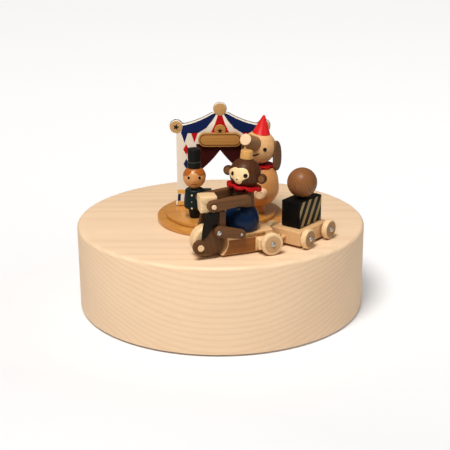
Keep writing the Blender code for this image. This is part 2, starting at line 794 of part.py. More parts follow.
def build_magnet_arm(drive):
    """The arm points at the scooter's magnet, seen from above."""
    reach = math.hypot(SCOOTER_RADIUS, MAGNET_PLACE)
    bearing = SCOOTER_HEADING + math.atan2(SCOOTER_RADIUS, MAGNET_PLACE)
    rim = capsule((0, 0), (reach, 0), ARM_HUB_RADIUS, ARM_END_RADIUS, 8)
    hub = circle((0, 0), SHAFT_RADIUS + CLEARANCE, MEDIUM_STEPS)
    seat = circle((reach, 0), ARM_MAGNET_RADIUS + CLEARANCE, MEDIUM_STEPS)
    middle = (ARM_TOP + ARM_BOTTOM) / 2
    arm = plate([rim, hub, seat], ARM_THICKNESS)
    part("magnet_arm", arm, STEEL, (0, 0, middle), (0, 0, bearing), drive)
    disc = rod(ARM_MAGNET_RADIUS, ARM_THICKNESS, MEDIUM_STEPS)
    place = (reach * math.cos(bearing), reach * math.sin(bearing), middle)
    part("arm_magnet", disc, STEEL, place, parent=drive)


def pins():
    """Fine pins round the cylinder, along Z, spread over its rows by a rule like a tune's."""
    shape = bmesh.new()
    facet = 2 * math.pi / PIN_COLUMNS
    depth = PIN_HEIGHT + PIN_ROOT
    reach = CYLINDER_RADIUS * math.cos(facet / 2) + PIN_HEIGHT - depth / 2
    for row in range(COMB_TEETH):
        level = COMB_PITCH * (row + 1) - CYLINDER_LENGTH / 2
        for column in range(PIN_COLUMNS):
            if (column * PIN_STRIDE + row * PIN_STEP) % PIN_PERIOD:
                continue
            spin = Matrix.Rotation(facet * (column + 0.5), 4, "Z")
            place = spin @ Matrix.Translation((reach, 0, level))
            aim = Matrix.Rotation(math.pi / 2, 4, "Y")
            bmesh.ops.create_cone(
                shape,
                cap_ends=True,
                segments=4,
                radius1=PIN_RADIUS,
                radius2=PIN_RADIUS / 2,
                depth=depth,
                matrix=place @ aim,
            )
    return from_bmesh(shape)


def build_cylinder():
    axis = empty("cylinder_axis", (0, 0, CYLINDER_HEIGHT))
    middle = (CYLINDER_START + CYLINDER_END) / 2
    shell = rod(CYLINDER_RADIUS, CYLINDER_LENGTH, PIN_COLUMNS)
    cylinder = part("pinned_cylinder", shell, BRASS, (middle, 0, 0), ALONG_X, axis)
    fuse(cylinder, pins(), (middle, 0, 0), ALONG_X, axis)
    length = OUTER_CHEEK_END + CLEARANCE - PINION_START
    arbor = rod(CYLINDER_ARBOR_RADIUS, length, MEDIUM_STEPS)
    fuse(cylinder, arbor, (PINION_START + length / 2, 0, 0), ALONG_X, axis)
    pinion = gear(PINION_TEETH, PINION_TIP, PINION_ROOT, PINION_TOOTH, -math.pi / 2)
    place = (PINION_START + PINION_WIDTH / 2, 0, 0)
    fuse(cylinder, plate([pinion], PINION_WIDTH - CLEARANCE), place, ACROSS_X, axis)
    end_gear = gear(
        END_GEAR_TEETH, END_GEAR_TIP, END_GEAR_ROOT, FINE_TOOTH, GOVERNOR_RISE
    )
    place = (END_GEAR_START + END_GEAR_WIDTH / 2, 0, 0)
    fuse(cylinder, plate([end_gear], END_GEAR_WIDTH), place, ACROSS_X, axis)


def build_comb():
    """The comb's teeth grow longer from one end to the other, with their tips in one line."""
    first_x = CYLINDER_START + COMB_PITCH
    half = COMB_PITCH * (1 - COMB_SLOT_SHARE) / 2
    left = first_x - half
    right = first_x + COMB_PITCH * (COMB_TEETH - 1) + half
    outline = [(right, COMB_BACK_Y), (left, COMB_BACK_Y)]
    for index in range(COMB_TEETH):
        x = first_x + COMB_PITCH * index
        length = COMB_LONG + (COMB_SHORT - COMB_LONG) * index / (COMB_TEETH - 1)
        root_y = COMB_TIP_Y - length
        outline += [
            (x - half, root_y),
            (x - half, COMB_TIP_Y),
            (x + half, COMB_TIP_Y),
            (x + half, root_y),
        ]
    comb = part("tone_comb", plate([outline], COMB_THICKNESS), STEEL, (0, 0, CYLINDER_HEIGHT))
    head = rod(COMB_SCREW_RADIUS, COMB_SCREW_HEAD + COMB_THICKNESS / 2)
    level = CYLINDER_HEIGHT + (COMB_SCREW_HEAD + COMB_THICKNESS / 2) / 2
    for share in COMB_SCREW_SHARES:
        x = left + (right - left) * share
        fuse(comb, head, (x, COMB_BACK_Y + COMB_SPINE / 2, level))


def build_governor():
    """A small pinion and a large wheel share one arbor, and the wheel drives the fan's worm."""
    axis = empty("governor_axis", (0, GOVERNOR_Y, GOVERNOR_Z))
    outline = gear(WHEEL_TEETH, WHEEL_TIP, WHEEL_ROOT, FINE_TOOTH)
    wheel_mesh = plate([outline], WHEEL_WIDTH)
    wheel = part("governor_wheel", wheel_mesh, BRASS, (FAN_X, 0, 0), ACROSS_X, axis)
    start = END_GEAR_START - CLEARANCE
    length = WHEEL_START + WHEEL_WIDTH + CLEARANCE - start
    arbor = rod(GOVERNOR_ARBOR_RADIUS, length)
    fuse(wheel, arbor, (start + length / 2, 0, 0), ALONG_X, axis)
    facing = GOVERNOR_RISE + math.pi + math.pi / GOVERNOR_TEETH
    pinion = gear(GOVERNOR_TEETH, GOVERNOR_TIP, GOVERNOR_ROOT, FINE_TOOTH, facing)
    place = (END_GEAR_START + END_GEAR_WIDTH / 2, 0, 0)
    fuse(wheel, plate([pinion], END_GEAR_WIDTH), place, ACROSS_X, axis)
    build_fan()


def build_fan():
    """The fan's arbor stands in the bedplate's boss and passes through the bracket's arm."""
    worm_middle = GOVERNOR_Z
    turn = 2 * WORM_GROOVE * 2
    worm_top = worm_middle + turn * WORM_TURNS / 2
    bottom = BED_TOP + CLEARANCE
    fan_bottom = bracket_top() + CLEARANCE
    top = fan_bottom + FAN_HEIGHT
    profile = [(0, top), (GOVERNOR_ARBOR_RADIUS, top), (GOVERNOR_ARBOR_RADIUS, worm_top)]
    for index in range(WORM_TURNS):
        level = worm_top - turn * index
        profile += [
            (WORM_RADIUS, level - turn / 4),
            (WORM_RADIUS - WORM_GROOVE, level - 3 * turn / 4),
        ]
    profile += [(GOVERNOR_ARBOR_RADIUS, worm_top - turn * WORM_TURNS)]
    profile += [(GOVERNOR_ARBOR_RADIUS, bottom), (0, bottom)]
    fan = part("governor_fan", turned(profile, SMALL_STEPS), BRASS, (FAN_X, FAN_Y, 0))
    blade = box((2 * FAN_RADIUS, FAN_BLADE, FAN_HEIGHT))
    level = fan_bottom + FAN_HEIGHT / 2
    fuse(fan, blade, (FAN_X, FAN_Y, level))


def bracket_top():
    return CHEEK_TOP - BRACKET_ARM


def build_bedplate():
    """One casting: a base with two bearing cheeks, a ledge for the comb and the fan's bracket."""
    left = -(PLATE_TIP + BED_MARGIN)
    right = FAN_X + BRACKET_WIDTH / 2 + BED_EDGE
    bottom = COMB_BACK_Y - BED_EDGE
    post_y = FAN_Y + FAN_RADIUS + CLEARANCE + BRACKET_DEPTH / 2
    top = post_y + BRACKET_DEPTH / 2 + BED_EDGE
    corners = (
        ((right, top), 0),
        ((left, top), 90),
        ((left, bottom), 180),
        ((right, bottom), 270),
    )
    rim = []
    for (x, y), start in corners:
        inward_x = x - math.copysign(BED_CORNER, x)
        inward_y = y - math.copysign(BED_CORNER, y)
        rim += arc((inward_x, inward_y), BED_CORNER, start, start + 90, 3)
    hole = circle((0, 0), ARBOR_RADIUS + CLEARANCE, MEDIUM_STEPS)
    middle = (BED_BOTTOM + BED_TOP) / 2
    bed = part(
        "movement_bedplate", plate([rim, hole], BED_THICKNESS), CAST_ZINC, (0, 0, middle)
    )
    add_cheeks(bed)
    add_comb_ledge(bed)
    add_fan_bracket(bed, post_y)


def add_cheeks(bed):
    """The cheeks carry the cylinder's arbor, and the outer one the governor's as well."""
    height = CHEEK_TOP - BED_BOTTOM - BED_THICKNESS / 2
    level = BED_BOTTOM + BED_THICKNESS / 2 + height / 2
    inner = box((CHEEK_THICKNESS, CHEEK_WIDTH, height))
    fuse(bed, inner, (INNER_CHEEK + CHEEK_THICKNESS / 2, 0, level))
    reach = FAN_Y - FAN_RADIUS - 2 * CLEARANCE
    outer = box((CHEEK_THICKNESS, reach + CHEEK_WIDTH / 2, height))
    outer_x = OUTER_CHEEK + CHEEK_THICKNESS / 2
    fuse(bed, outer, (outer_x, (reach - CHEEK_WIDTH / 2) / 2, level))
    length = OUTER_CHEEK_END - INNER_CHEEK + 2 * OVERRUN
    bore = rod(CYLINDER_ARBOR_RADIUS + BEARING_PLAY, length, MEDIUM_STEPS)
    middle = (INNER_CHEEK + OUTER_CHEEK_END) / 2
    cut(bed, bore, (middle, 0, CYLINDER_HEIGHT), ALONG_X)
    short = rod(GOVERNOR_ARBOR_RADIUS + BEARING_PLAY, CHEEK_THICKNESS + 2 * OVERRUN)
    cut(bed, short, (outer_x, GOVERNOR_Y, GOVERNOR_Z), ALONG_X)


def add_comb_ledge(bed):
    height = CYLINDER_HEIGHT - COMB_THICKNESS / 2 - CLEARANCE - BED_BOTTOM - BED_THICKNESS / 2
    level = BED_BOTTOM + BED_THICKNESS / 2 + height / 2
    ledge = box((CYLINDER_LENGTH, COMB_SPINE, height))
    middle = (CYLINDER_START + CYLINDER_END) / 2
    fuse(bed, ledge, (middle, COMB_BACK_Y + COMB_SPINE / 2, level))


def add_fan_bracket(bed, post_y):
    top = bracket_top()
    height = top - BED_BOTTOM - BED_THICKNESS / 2
    level = BED_BOTTOM + BED_THICKNESS / 2 + height / 2
    fuse(bed, box((BRACKET_WIDTH, BRACKET_DEPTH, height)), (FAN_X, post_y, level))
    reach = post_y - FAN_Y + FAN_BOSS_RADIUS
    arm = box((BRACKET_WIDTH - BRACKET_STEP, reach, BRACKET_ARM))
    arm_y = post_y - reach / 2
    fuse(bed, arm, (FAN_X, arm_y, top - BRACKET_ARM / 2 - BRACKET_STEP))
    boss = rod(FAN_BOSS_RADIUS, FAN_BOSS_HEIGHT + BED_THICKNESS / 2)
    fuse(bed, boss, (FAN_X, FAN_Y, BED_TOP + (FAN_BOSS_HEIGHT - BED_THICKNESS / 2) / 2))
    bore_height = top - BED_TOP + OVERRUN
    bore = rod(GOVERNOR_ARBOR_RADIUS + BEARING_PLAY, bore_height)
    cut(bed, bore, (FAN_X, FAN_Y, BED_TOP + bore_height / 2))


def stage_disc(radius, bottom, top):
    fillet = arc((radius - STAGE_EDGE, top - STAGE_EDGE), STAGE_EDGE, 90, 0, 2)
    return turned([(0, top), *fillet, (radius, bottom), (0, bottom)], DISC_STEPS)


def build_stage():
    lower_top = DECK_HEIGHT + STAGE_LOWER_TOP
    lower = stage_disc(STAGE_LOWER_RADIUS, DECK_HEIGHT + CLEARANCE, lower_top)
    part("stage_lower", lower, GOLDEN_LACQUER)
    upper = stage_disc(STAGE_UPPER_RADIUS, lower_top + CLEARANCE, STAGE_TOP)
    part("stage_upper", upper, GOLDEN_LACQUER)


def mirrored(half):
    """A closed outline from its half at x >= 0, whose first and last points are on the axis."""
    return half + [(-x, y) for x, y in reversed(half) if x > WELD]


def roof_line(steps=5):
    """The sagging edge between the side disc and the peak disc."""
    side = (
        TENT_HALF_WIDTH - TENT_DISC_RADIUS,
        SIDE_DISC_HEIGHT + ROOF_SIDE_DROP,
    )
    peak = (TENT_DISC_RADIUS, PEAK_DISC_HEIGHT - TENT_DISC_RADIUS / 2)
    points = []
    for index in range(1, steps):
        share = index / steps
        x = side[0] + (peak[0] - side[0]) * share
        z = side[1] + (peak[1] - side[1]) * share - ROOF_SAG * 4 * share * (1 - share)
        points.append((x, z))
    return points


def tent_outline():
    """The front board: two pillars on flared feet, discs at its three corners and a curtain arch."""
    inner = TENT_HALF_WIDTH - TENT_PILLAR
    side = (TENT_HALF_WIDTH, SIDE_DISC_HEIGHT)
    fold = ((CURTAIN_FOLD_HALF + inner) / 2, (CURTAIN_FOLD_HEIGHT + CURTAIN_HEM) / 2)
    swag = (CURTAIN_FOLD_HALF / 2, (CURTAIN_FOLD_HEIGHT + CURTAIN_APEX) / 2 - CURTAIN_BULGE)
    half = [
        (0, CURTAIN_APEX),
        swag,
        (CURTAIN_FOLD_HALF, CURTAIN_FOLD_HEIGHT),
        (fold[0], fold[1] - CURTAIN_BULGE),
        (inner, CURTAIN_HEM),
        (inner, 0),
        (TENT_HALF_WIDTH + PLINTH_FLARE, 0),
        (TENT_HALF_WIDTH + PLINTH_FLARE, PLINTH_HEIGHT - PLINTH_FLARE),
        (TENT_HALF_WIDTH, PLINTH_HEIGHT),
        *arc(side, TENT_DISC_RADIUS, *SIDE_DISC_SPAN, SIDE_DISC_STEPS),
        *roof_line(),
        *arc((0, PEAK_DISC_HEIGHT), TENT_DISC_RADIUS, *PEAK_DISC_SPAN, PEAK_DISC_STEPS),
    ]
    return mirrored(half)


def build_tent():
    middle_y = TENT_FACE_Y + TENT_THICKNESS / 2
    board = plate([tent_outline()], TENT_THICKNESS)
    foot = STAGE_TOP + CLEARANCE
    part("tent_front", board, WHITE_PAINT, (0, middle_y, foot), UPRIGHT)
    rise = (SIGN_TOP - SIGN_BOTTOM) / 2
    centre = (SIGN_HALF_WIDTH - rise, (SIGN_TOP + SIGN_BOTTOM) / 2)
    spread = SIGN_TOP - SIGN_DISC_HEIGHT
    start = math.degrees(math.asin(spread / SIGN_DISC_RADIUS))
    half = [
        (0, SIGN_BOTTOM),
        *arc(centre, rise, -90, 90, 8),
        *arc((0, SIGN_DISC_HEIGHT), SIGN_DISC_RADIUS, start, 90, 6),
    ]
    sign = plate([mirrored(half)], SIGN_THICKNESS)
    sign_y = TENT_FACE_Y - CLEARANCE - SIGN_THICKNESS / 2
    part("tent_sign", sign, TAN_WOOD, (0, sign_y, foot), UPRIGHT)


def build_ringmaster():
    """Turned legs and coat in one piece, one sleeve held out, a ball head and a top hat."""
    stand = empty("ringmaster_stand", (*RINGMASTER_PLACE, STAGE_TOP))
    profile = [
        (0, COAT_TOP),
        *arc(
            (COAT_CHEST_RADIUS - COAT_SHOULDER, COAT_TOP - COAT_SHOULDER), COAT_SHOULDER, 90, 0, 3
        ),
        (COAT_RADIUS, LEGS_HEIGHT + COAT_HEM),
        (LEGS_RADIUS + COAT_HEM / 2, LEGS_HEIGHT),
        (LEGS_RADIUS, LEGS_HEIGHT),
        (LEGS_FOOT_RADIUS, CLEARANCE),
        (0, CLEARANCE),
    ]
    body = part("ringmaster_body", turned(profile, MEDIUM_STEPS), TEAL_PAINT, parent=stand)
    sleeve = rod(SLEEVE_RADIUS, SLEEVE_REACH)
    fuse(body, sleeve, (SLEEVE_REACH / 2, 0, SLEEVE_HEIGHT), ALONG_X, stand)
    head = egg(
        RING_HEAD_RADIUS,
        RING_HEAD_RADIUS,
        RING_HEAD_RADIUS,
        TOP_HAT_FOOT - CLEARANCE - RING_HEAD_CENTRE,
        COAT_TOP + CLEARANCE - RING_HEAD_CENTRE,
        8,
    )
    place = (0, 0, RING_HEAD_CENTRE)
    part("ringmaster_head", turned(head, MEDIUM_STEPS), TAN_WOOD, place, parent=stand)
    hat = [
        (0, TOP_HAT_TOP),
        (TOP_HAT_CROWN_RADIUS, TOP_HAT_TOP),
        (TOP_HAT_RADIUS, TOP_HAT_BRIM_TOP),
        (TOP_HAT_BRIM_RADIUS, TOP_HAT_BRIM_TOP),
        (TOP_HAT_BRIM_RADIUS, TOP_HAT_FOOT),
        (0, TOP_HAT_FOOT),
    ]
    part("ringmaster_hat", turned(hat, MEDIUM_STEPS), BLACK_PAINT, parent=stand)


def build_elephant():
    """A turned body on a short post, with forelegs held out. Its face looks along local -Y."""
    place = (*ELEPHANT_PLACE, STAGE_TOP)
    stand = empty("elephant_stand", place, (0, 0, ELEPHANT_TURN))
    post_top = BELLY_HEIGHT - BELLY_DROP * math.sqrt(1 - (POST_RADIUS / BELLY_RADIUS) ** 2)
    belly = egg(
        BELLY_RADIUS,
        BELLY_RISE,
        BELLY_DROP,
        BODY_TOP - BELLY_HEIGHT,
        post_top - BELLY_HEIGHT,
        9,
    )
    profile = lifted(belly[:-1], BELLY_HEIGHT)
    profile += [(POST_RADIUS, CLEARANCE), (0, CLEARANCE)]
    body = part("elephant_body", turned(profile, LARGE_STEPS), TAN_WOOD, parent=stand)
    foreleg = rod(FORELEG_RADIUS, FORELEG_REACH)
    for side in (-1, 1):
        x = side * FORELEG_HALF_GAP
        fuse(body, foreleg, (x, -FORELEG_REACH / 2, FORELEG_HEIGHT), ALONG_Y, stand)
    ruff_bottom = BODY_TOP + CLEARANCE
    ruff = plate([scalloped(ELEPHANT_RUFF_RADIUS, ELEPHANT_RUFF_WAVE)], ELEPHANT_RUFF)
    middle = ruff_bottom + ELEPHANT_RUFF / 2
    part("elephant_ruff", ruff, RED_PAINT, (0, 0, middle), parent=stand)
    build_elephant_head(stand, ruff_bottom + ELEPHANT_RUFF + CLEARANCE)


def build_elephant_head(stand, seat):
    """The head is a ball with a flat seat, a straight trunk, two hanging ears and a cone hat."""
    centre = (ELEPHANT_HEAD_SHIFT, 0, ELEPHANT_HEAD_CENTRE)
    neck = empty("elephant_neck", centre, parent=stand)
    radius = ELEPHANT_HEAD_RADIUS
    flat = max(seat - ELEPHANT_HEAD_CENTRE, -radius)
    profile = egg(radius, radius, radius, radius, flat, 10)[1:]
    head = part("elephant_head", turned(profile, LARGE_STEPS), TAN_WOOD, parent=neck)
    direction = Vector((0, -math.cos(TRUNK_RISE), math.sin(TRUNK_RISE)))
    length = TRUNK_REACH - TRUNK_ROOT
    trunk = rod(TRUNK_RADIUS, length, MEDIUM_STEPS, TRUNK_END_RADIUS)
    place = direction * (TRUNK_ROOT + length / 2)
    aim = direction.to_track_quat("Z", "Y").to_euler()
    part("elephant_trunk", trunk, TAN_WOOD, place, aim, neck)
    socket_length = length + CLEARANCE
    socket = rod(TRUNK_RADIUS + CLEARANCE, socket_length, MEDIUM_STEPS)
    socket_place = direction * (TRUNK_ROOT - CLEARANCE + socket_length / 2)
    cut(head, socket, socket_place, aim, neck)
    ear = plate([ear_outline()], EAR_THICKNESS)
    for name, side in (("elephant_ear_near", 1), ("elephant_ear_far", -1)):
        tilt = empty(name + "_tilt", (0, 0, 0), (0, -side * EAR_FLARE, 0), neck)
        x = side * (radius + CLEARANCE + EAR_THICKNESS / 2)
        part(name, ear, WALNUT, (x, EAR_SETBACK, 0), ACROSS_X, tilt)
    lean = empty("elephant_hat_lean", (0, 0, 0), (0, CONE_HAT_LEAN, 0), neck)
    cone = rod(CONE_HAT_RADIUS, CONE_HAT_HEIGHT, MEDIUM_STEPS, CONE_HAT_TIP_RADIUS)
    level = CONE_HAT_FOOT + CONE_HAT_HEIGHT / 2
    hat = part("elephant_hat", cone, RED_PAINT, (0, 0, level), parent=lean)
    cut(hat, ball(radius + CLEARANCE, LARGE_STEPS), parent=neck)


def ear_outline():
    top = (0, EAR_TOP_HEIGHT)
    bottom = (0, EAR_BOTTOM_HEIGHT)
    return capsule(bottom, top, EAR_BOTTOM_RADIUS, EAR_TOP_RADIUS, 8)


def heading_frame(name, heading, radius):
    """A frame on the deck whose X is forward and whose Y points away from the drum's axis."""
    place = (-radius * math.sin(heading), radius * math.cos(heading), DECK_HEIGHT)
    return empty(name, place, (0, 0, heading))


def build_scooter_body(scooter):
    """A block hollowed round the fender, with side grooves, axle cowls and a towing tongue."""
    length = BODY_FRONT - BODY_REAR
    height = BODY_TOP_HEIGHT - BODY_BOTTOM
    place = ((BODY_FRONT + BODY_REAR) / 2, 0, (BODY_TOP_HEIGHT + BODY_BOTTOM) / 2)
    block = box((length, 2 * BODY_HALF_WIDTH, height), BODY_CORNER)
    body = part("scooter_body", block, MAPLE, place, parent=scooter)
    cowl = box(
        (COWL_FRONT - COWL_REAR, 2 * COWL_OUTER, COWL_TOP - COWL_BOTTOM), BODY_CORNER / 2
    )
    cowl_place = ((COWL_FRONT + COWL_REAR) / 2, 0, (COWL_TOP + COWL_BOTTOM) / 2)
    fuse(body, cowl, cowl_place, parent=scooter)
    root = (BODY_REAR + TONGUE_HALF_WIDTH, 0)
    outline = capsule(root, HITCH_PLACE, TONGUE_HALF_WIDTH, TONGUE_HALF_WIDTH)
    level = TONGUE_BOTTOM + TONGUE_THICKNESS / 2
    fuse(body, plate([outline], TONGUE_THICKNESS), (0, 0, level), parent=scooter)
    pin_length = HITCH_PIN_TOP - level
    pin = rod(HITCH_PIN_RADIUS, pin_length)
    fuse(body, pin, (*HITCH_PLACE, level + pin_length / 2), parent=scooter)
    cut_grooves(body, scooter)
    hollow = rod(FORK_DISC_RADIUS + FENDER_GAP, 2 * BODY_HALF_WIDTH + OVERRUN, DISC_STEPS)
    cut(body, hollow, (FRONT_WHEEL_PLACE, 0, front_axle_height()), ALONG_Y, scooter)
    bore = rod(AXLE_RADIUS + CLEARANCE, 2 * COWL_OUTER + OVERRUN)
    cut(body, bore, (REAR_AXLE_PLACE, 0, rear_axle_height()), ALONG_Y, scooter)
    top = MAGNET_BOTTOM + MAGNET_THICKNESS
    pocket_height = top + CLEARANCE - BODY_BOTTOM + OVERRUN
    pocket = rod(MAGNET_RADIUS + CLEARANCE, pocket_height, MEDIUM_STEPS)
    cut(body, pocket, (MAGNET_PLACE, 0, top + CLEARANCE - pocket_height / 2), parent=scooter)
    magnet = rod(MAGNET_RADIUS, MAGNET_THICKNESS, MEDIUM_STEPS)
    place = (MAGNET_PLACE, 0, MAGNET_BOTTOM + MAGNET_THICKNESS / 2)
    part("scooter_magnet", magnet, STEEL, place, parent=scooter)


def cut_grooves(body, scooter):
    radius = (GROOVE_TOP - GROOVE_BOTTOM) / 2
    level = (GROOVE_TOP + GROOVE_BOTTOM) / 2
    outline = capsule((GROOVE_REAR, level), (GROOVE_FRONT, level), radius, radius, 4)
    groove = plate([outline], 2 * GROOVE_DEPTH)
    for side in (-1, 1):
        cut(body, groove, (0, side * BODY_HALF_WIDTH, 0), UPRIGHT, scooter)


def front_axle_height():
    return FRONT_WHEEL_RADIUS + ROLLING_GAP


def rear_axle_height():
    return REAR_WHEEL_RADIUS + ROLLING_GAP


def wheel(radius, width, edge, bore):
    """A wheel about Z with rounded rims."""
    half = width / 2
    rim = arc((radius - edge, half - edge), edge, 90, 0, 2)
    lower = arc((radius - edge, edge - half), edge, 0, -90, 2)
    return turned([(bore, half), *rim, *lower, (bore, -half)], MEDIUM_STEPS, ring=True)


def headed_axle(half_length):
    """An axle about Z with a low domed head at each end."""
    dome = [
        (0, half_length + AXLE_HEAD),
        (AXLE_HEAD_RADIUS * math.sqrt(3) / 2, half_length + AXLE_HEAD / 2),
        (AXLE_HEAD_RADIUS, half_length),
        (AXLE_RADIUS, half_length),
    ]
    return turned(dome + [(r, -z) for r, z in reversed(dome)], SMALL_STEPS)


def build_front_wheel(scooter):
    """The front wheel turns on an axle whose ends sit in blind holes in the fork plates."""
    height = front_axle_height()
    place = (FRONT_WHEEL_PLACE, 0, height)
    hub = AXLE_RADIUS + CLEARANCE
    disc = wheel(FRONT_WHEEL_RADIUS, FRONT_WHEEL_WIDTH, FRONT_WHEEL_EDGE, hub)
    part("front_wheel", disc, MAPLE, place, ALONG_Y, scooter)
    half = FORK_INNER + AXLE_SEAT
    part("front_axle", rod(AXLE_RADIUS, 2 * half), STEEL, place, ALONG_Y, scooter)
    fork = plate([fork_outline(height)], FORK_THICKNESS)
    seat = rod(AXLE_RADIUS + CLEARANCE, 2 * (half + CLEARANCE))
    for name, side in (("fork_plate_near", 1), ("fork_plate_far", -1)):
        y = side * (FORK_INNER + FORK_THICKNESS / 2)
        solid = part(name, fork, WALNUT, (0, y, 0), UPRIGHT, scooter)
        cut(solid, seat, place, ALONG_Y, scooter)


def fork_outline(wheel_height):
    """A fender disc round the wheel's centre, a nose lobe in front and a leg up to the headlight."""
    back = SHIELD_FRONT + CLEARANCE
    wheel_centre = (FRONT_WHEEL_PLACE, wheel_height)
    return [
        (FORK_TOP_FRONT, FORK_TOP),
        *arc(FORK_LOBE_PLACE, FORK_LOBE_RADIUS, *FORK_LOBE_SPAN, FORK_LOBE_STEPS),
        *arc(wheel_centre, FORK_DISC_RADIUS, *FORK_DISC_SPAN, FORK_DISC_STEPS),
        (back, SHIELD_BOTTOM - CLEARANCE),
        (back, FORK_TOP),
    ]


def build_front(scooter):
    """Leg shield, headlight block and the handlebar that the monkey holds."""
    arm_underside = HANDLEBAR_PLACE[1] - HAND_RADIUS - CLEARANCE
    half = [
        (0, SHIELD_NOTCH),
        (FRONT_WHEEL_WIDTH / 2 + 2 * CLEARANCE, SHIELD_NOTCH),
        (FRONT_WHEEL_WIDTH / 2 + 2 * CLEARANCE, SHIELD_BOTTOM),
        (SHIELD_HALF_WIDTH, SHIELD_BOTTOM),
        (SHIELD_HALF_WIDTH, arm_underside),
        (TORSO_RADIUS, arm_underside),
        (TORSO_RADIUS, SHIELD_TOP),
        (0, SHIELD_TOP),
    ]
    board = plate([mirrored(half)], SHIELD_THICKNESS)
    x = SHIELD_FRONT - SHIELD_THICKNESS / 2
    part("leg_shield", board, WALNUT, (x, 0, 0), ACROSS_X, scooter)
    back = SHIELD_FRONT + CLEARANCE
    bottom = FORK_TOP + CLEARANCE
    outline = [
        (back, bottom),
        (HEADLIGHT_FRONT, bottom),
        (HEADLIGHT_FRONT, HEADLIGHT_TOP),
        (back, HEADLIGHT_BACK_TOP),
    ]
    lamp = plate([outline], 2 * HEADLIGHT_HALF_WIDTH, HEADLIGHT_EDGE)
    headlight = part("headlight", lamp, MAPLE, (0, 0, 0), UPRIGHT, scooter)
    x, z = HANDLEBAR_PLACE
    bar = rod(HANDLEBAR_RADIUS, 2 * HANDLEBAR_HALF_LENGTH)
    part("handlebar", bar, MAPLE, (x, 0, z), ALONG_Y, scooter)
    bore = rod(HANDLEBAR_RADIUS + CLEARANCE, 2 * HANDLEBAR_HALF_LENGTH)
    cut(headlight, bore, (x, 0, z), ALONG_Y, scooter)


def build_rear_wheels(scooter):
    height = rear_axle_height()
    outer = REAR_WHEEL_INNER + REAR_WHEEL_WIDTH
    axle = headed_axle(outer + CLEARANCE)
    part("rear_axle", axle, STEEL, (REAR_AXLE_PLACE, 0, height), ALONG_Y, scooter)
    disc = wheel(REAR_WHEEL_RADIUS, REAR_WHEEL_WIDTH, WHEEL_EDGE, AXLE_RADIUS + CLEARANCE)
    for name, side in (("rear_wheel_near", 1), ("rear_wheel_far", -1)):
        y = side * (REAR_WHEEL_INNER + REAR_WHEEL_WIDTH / 2)
        part(name, disc, MAPLE, (REAR_AXLE_PLACE, y, height), ALONG_Y, scooter)


def build_monkey(scooter):
    """Trousers, torso, ruff, head and hat share one axis that leans back from the seat."""
    place = (SEAT_PLACE, 0, SEAT_CENTRE_HEIGHT)
    spine = empty("monkey_spine", place, (0, -MONKEY_LEAN, 0), scooter)
    half = TROUSERS_HALF_HEIGHT
    profile = egg(TROUSERS_RADIUS, half, half, TROUSERS_TOP, -half, 9)[:-1]
    trousers = part("monkey_trousers", turned(profile, LARGE_STEPS), NAVY_PAINT, parent=spine)
    seat = BODY_TOP_HEIGHT + CLEARANCE
    slab = box((4 * TROUSERS_RADIUS, 4 * TROUSERS_RADIUS, 2 * TROUSERS_RADIUS))
    cut(trousers, slab, (SEAT_PLACE, 0, seat - TROUSERS_RADIUS), parent=scooter)
    leg_tool = plate([leg_outline(CLEARANCE)], LEG_THICKNESS + OVERRUN)
    for side in (-1, 1):
        y = side * (leg_inner() - CLEARANCE + (LEG_THICKNESS + OVERRUN) / 2)
        cut(trousers, leg_tool, (0, y, 0), UPRIGHT, scooter)
    waist = TROUSERS_TOP + CLEARANCE
    torso = turned(
        [(0, TORSO_TOP), (TORSO_NECK_RADIUS, TORSO_TOP), (TORSO_RADIUS, waist), (0, waist)],
        MEDIUM_STEPS,
    )
    part("monkey_torso", torso, WALNUT, parent=spine)
    ruff = plate([scalloped(MONKEY_RUFF_RADIUS, MONKEY_RUFF_WAVE)], MONKEY_RUFF)
    middle = TORSO_TOP + CLEARANCE + MONKEY_RUFF / 2
    part("monkey_ruff", ruff, RED_PAINT, (0, 0, middle), parent=spine)
    build_monkey_head(spine)
    build_limbs(scooter)


def build_monkey_head(spine):
    """The head turns outward, to the monkey's side, and carries two round ears and a small hat."""
    radius = MONKEY_HEAD_RADIUS
    chin = TORSO_TOP + 2 * CLEARANCE + MONKEY_RUFF - MONKEY_HEAD_CENTRE
    profile = egg(radius, radius, radius, MONKEY_HAT_SEAT, chin, 10)
    place = (0, 0, MONKEY_HEAD_CENTRE)
    head = part("monkey_head", turned(profile, LARGE_STEPS), WALNUT, place, parent=spine)
    face = empty("monkey_face", place, (0, 0, MONKEY_FACE_TURN), spine)
    ear = rod(MONKEY_EAR_RADIUS, MONKEY_EAR_THICKNESS)
    for side in (-1, 1):
        fuse(head, ear, (0, side * MONKEY_EAR_REACH, 0), ALONG_X, face)
    level = MONKEY_HEAD_CENTRE + MONKEY_HAT_SEAT + CLEARANCE + MONKEY_HAT_HEIGHT / 2
    hat = rod(MONKEY_HAT_RADIUS, MONKEY_HAT_HEIGHT, MEDIUM_STEPS, MONKEY_HAT_TOP_RADIUS)
    part("monkey_hat", hat, TAN_WOOD, (0, 0, level), parent=spine)


def leg_inner():
    return BODY_HALF_WIDTH + CLEARANCE


def leg_outline(margin=0.0):
    radius = LEG_RADIUS + margin
    return capsule(HIP_PLACE, FOOT_PLACE, radius, radius)


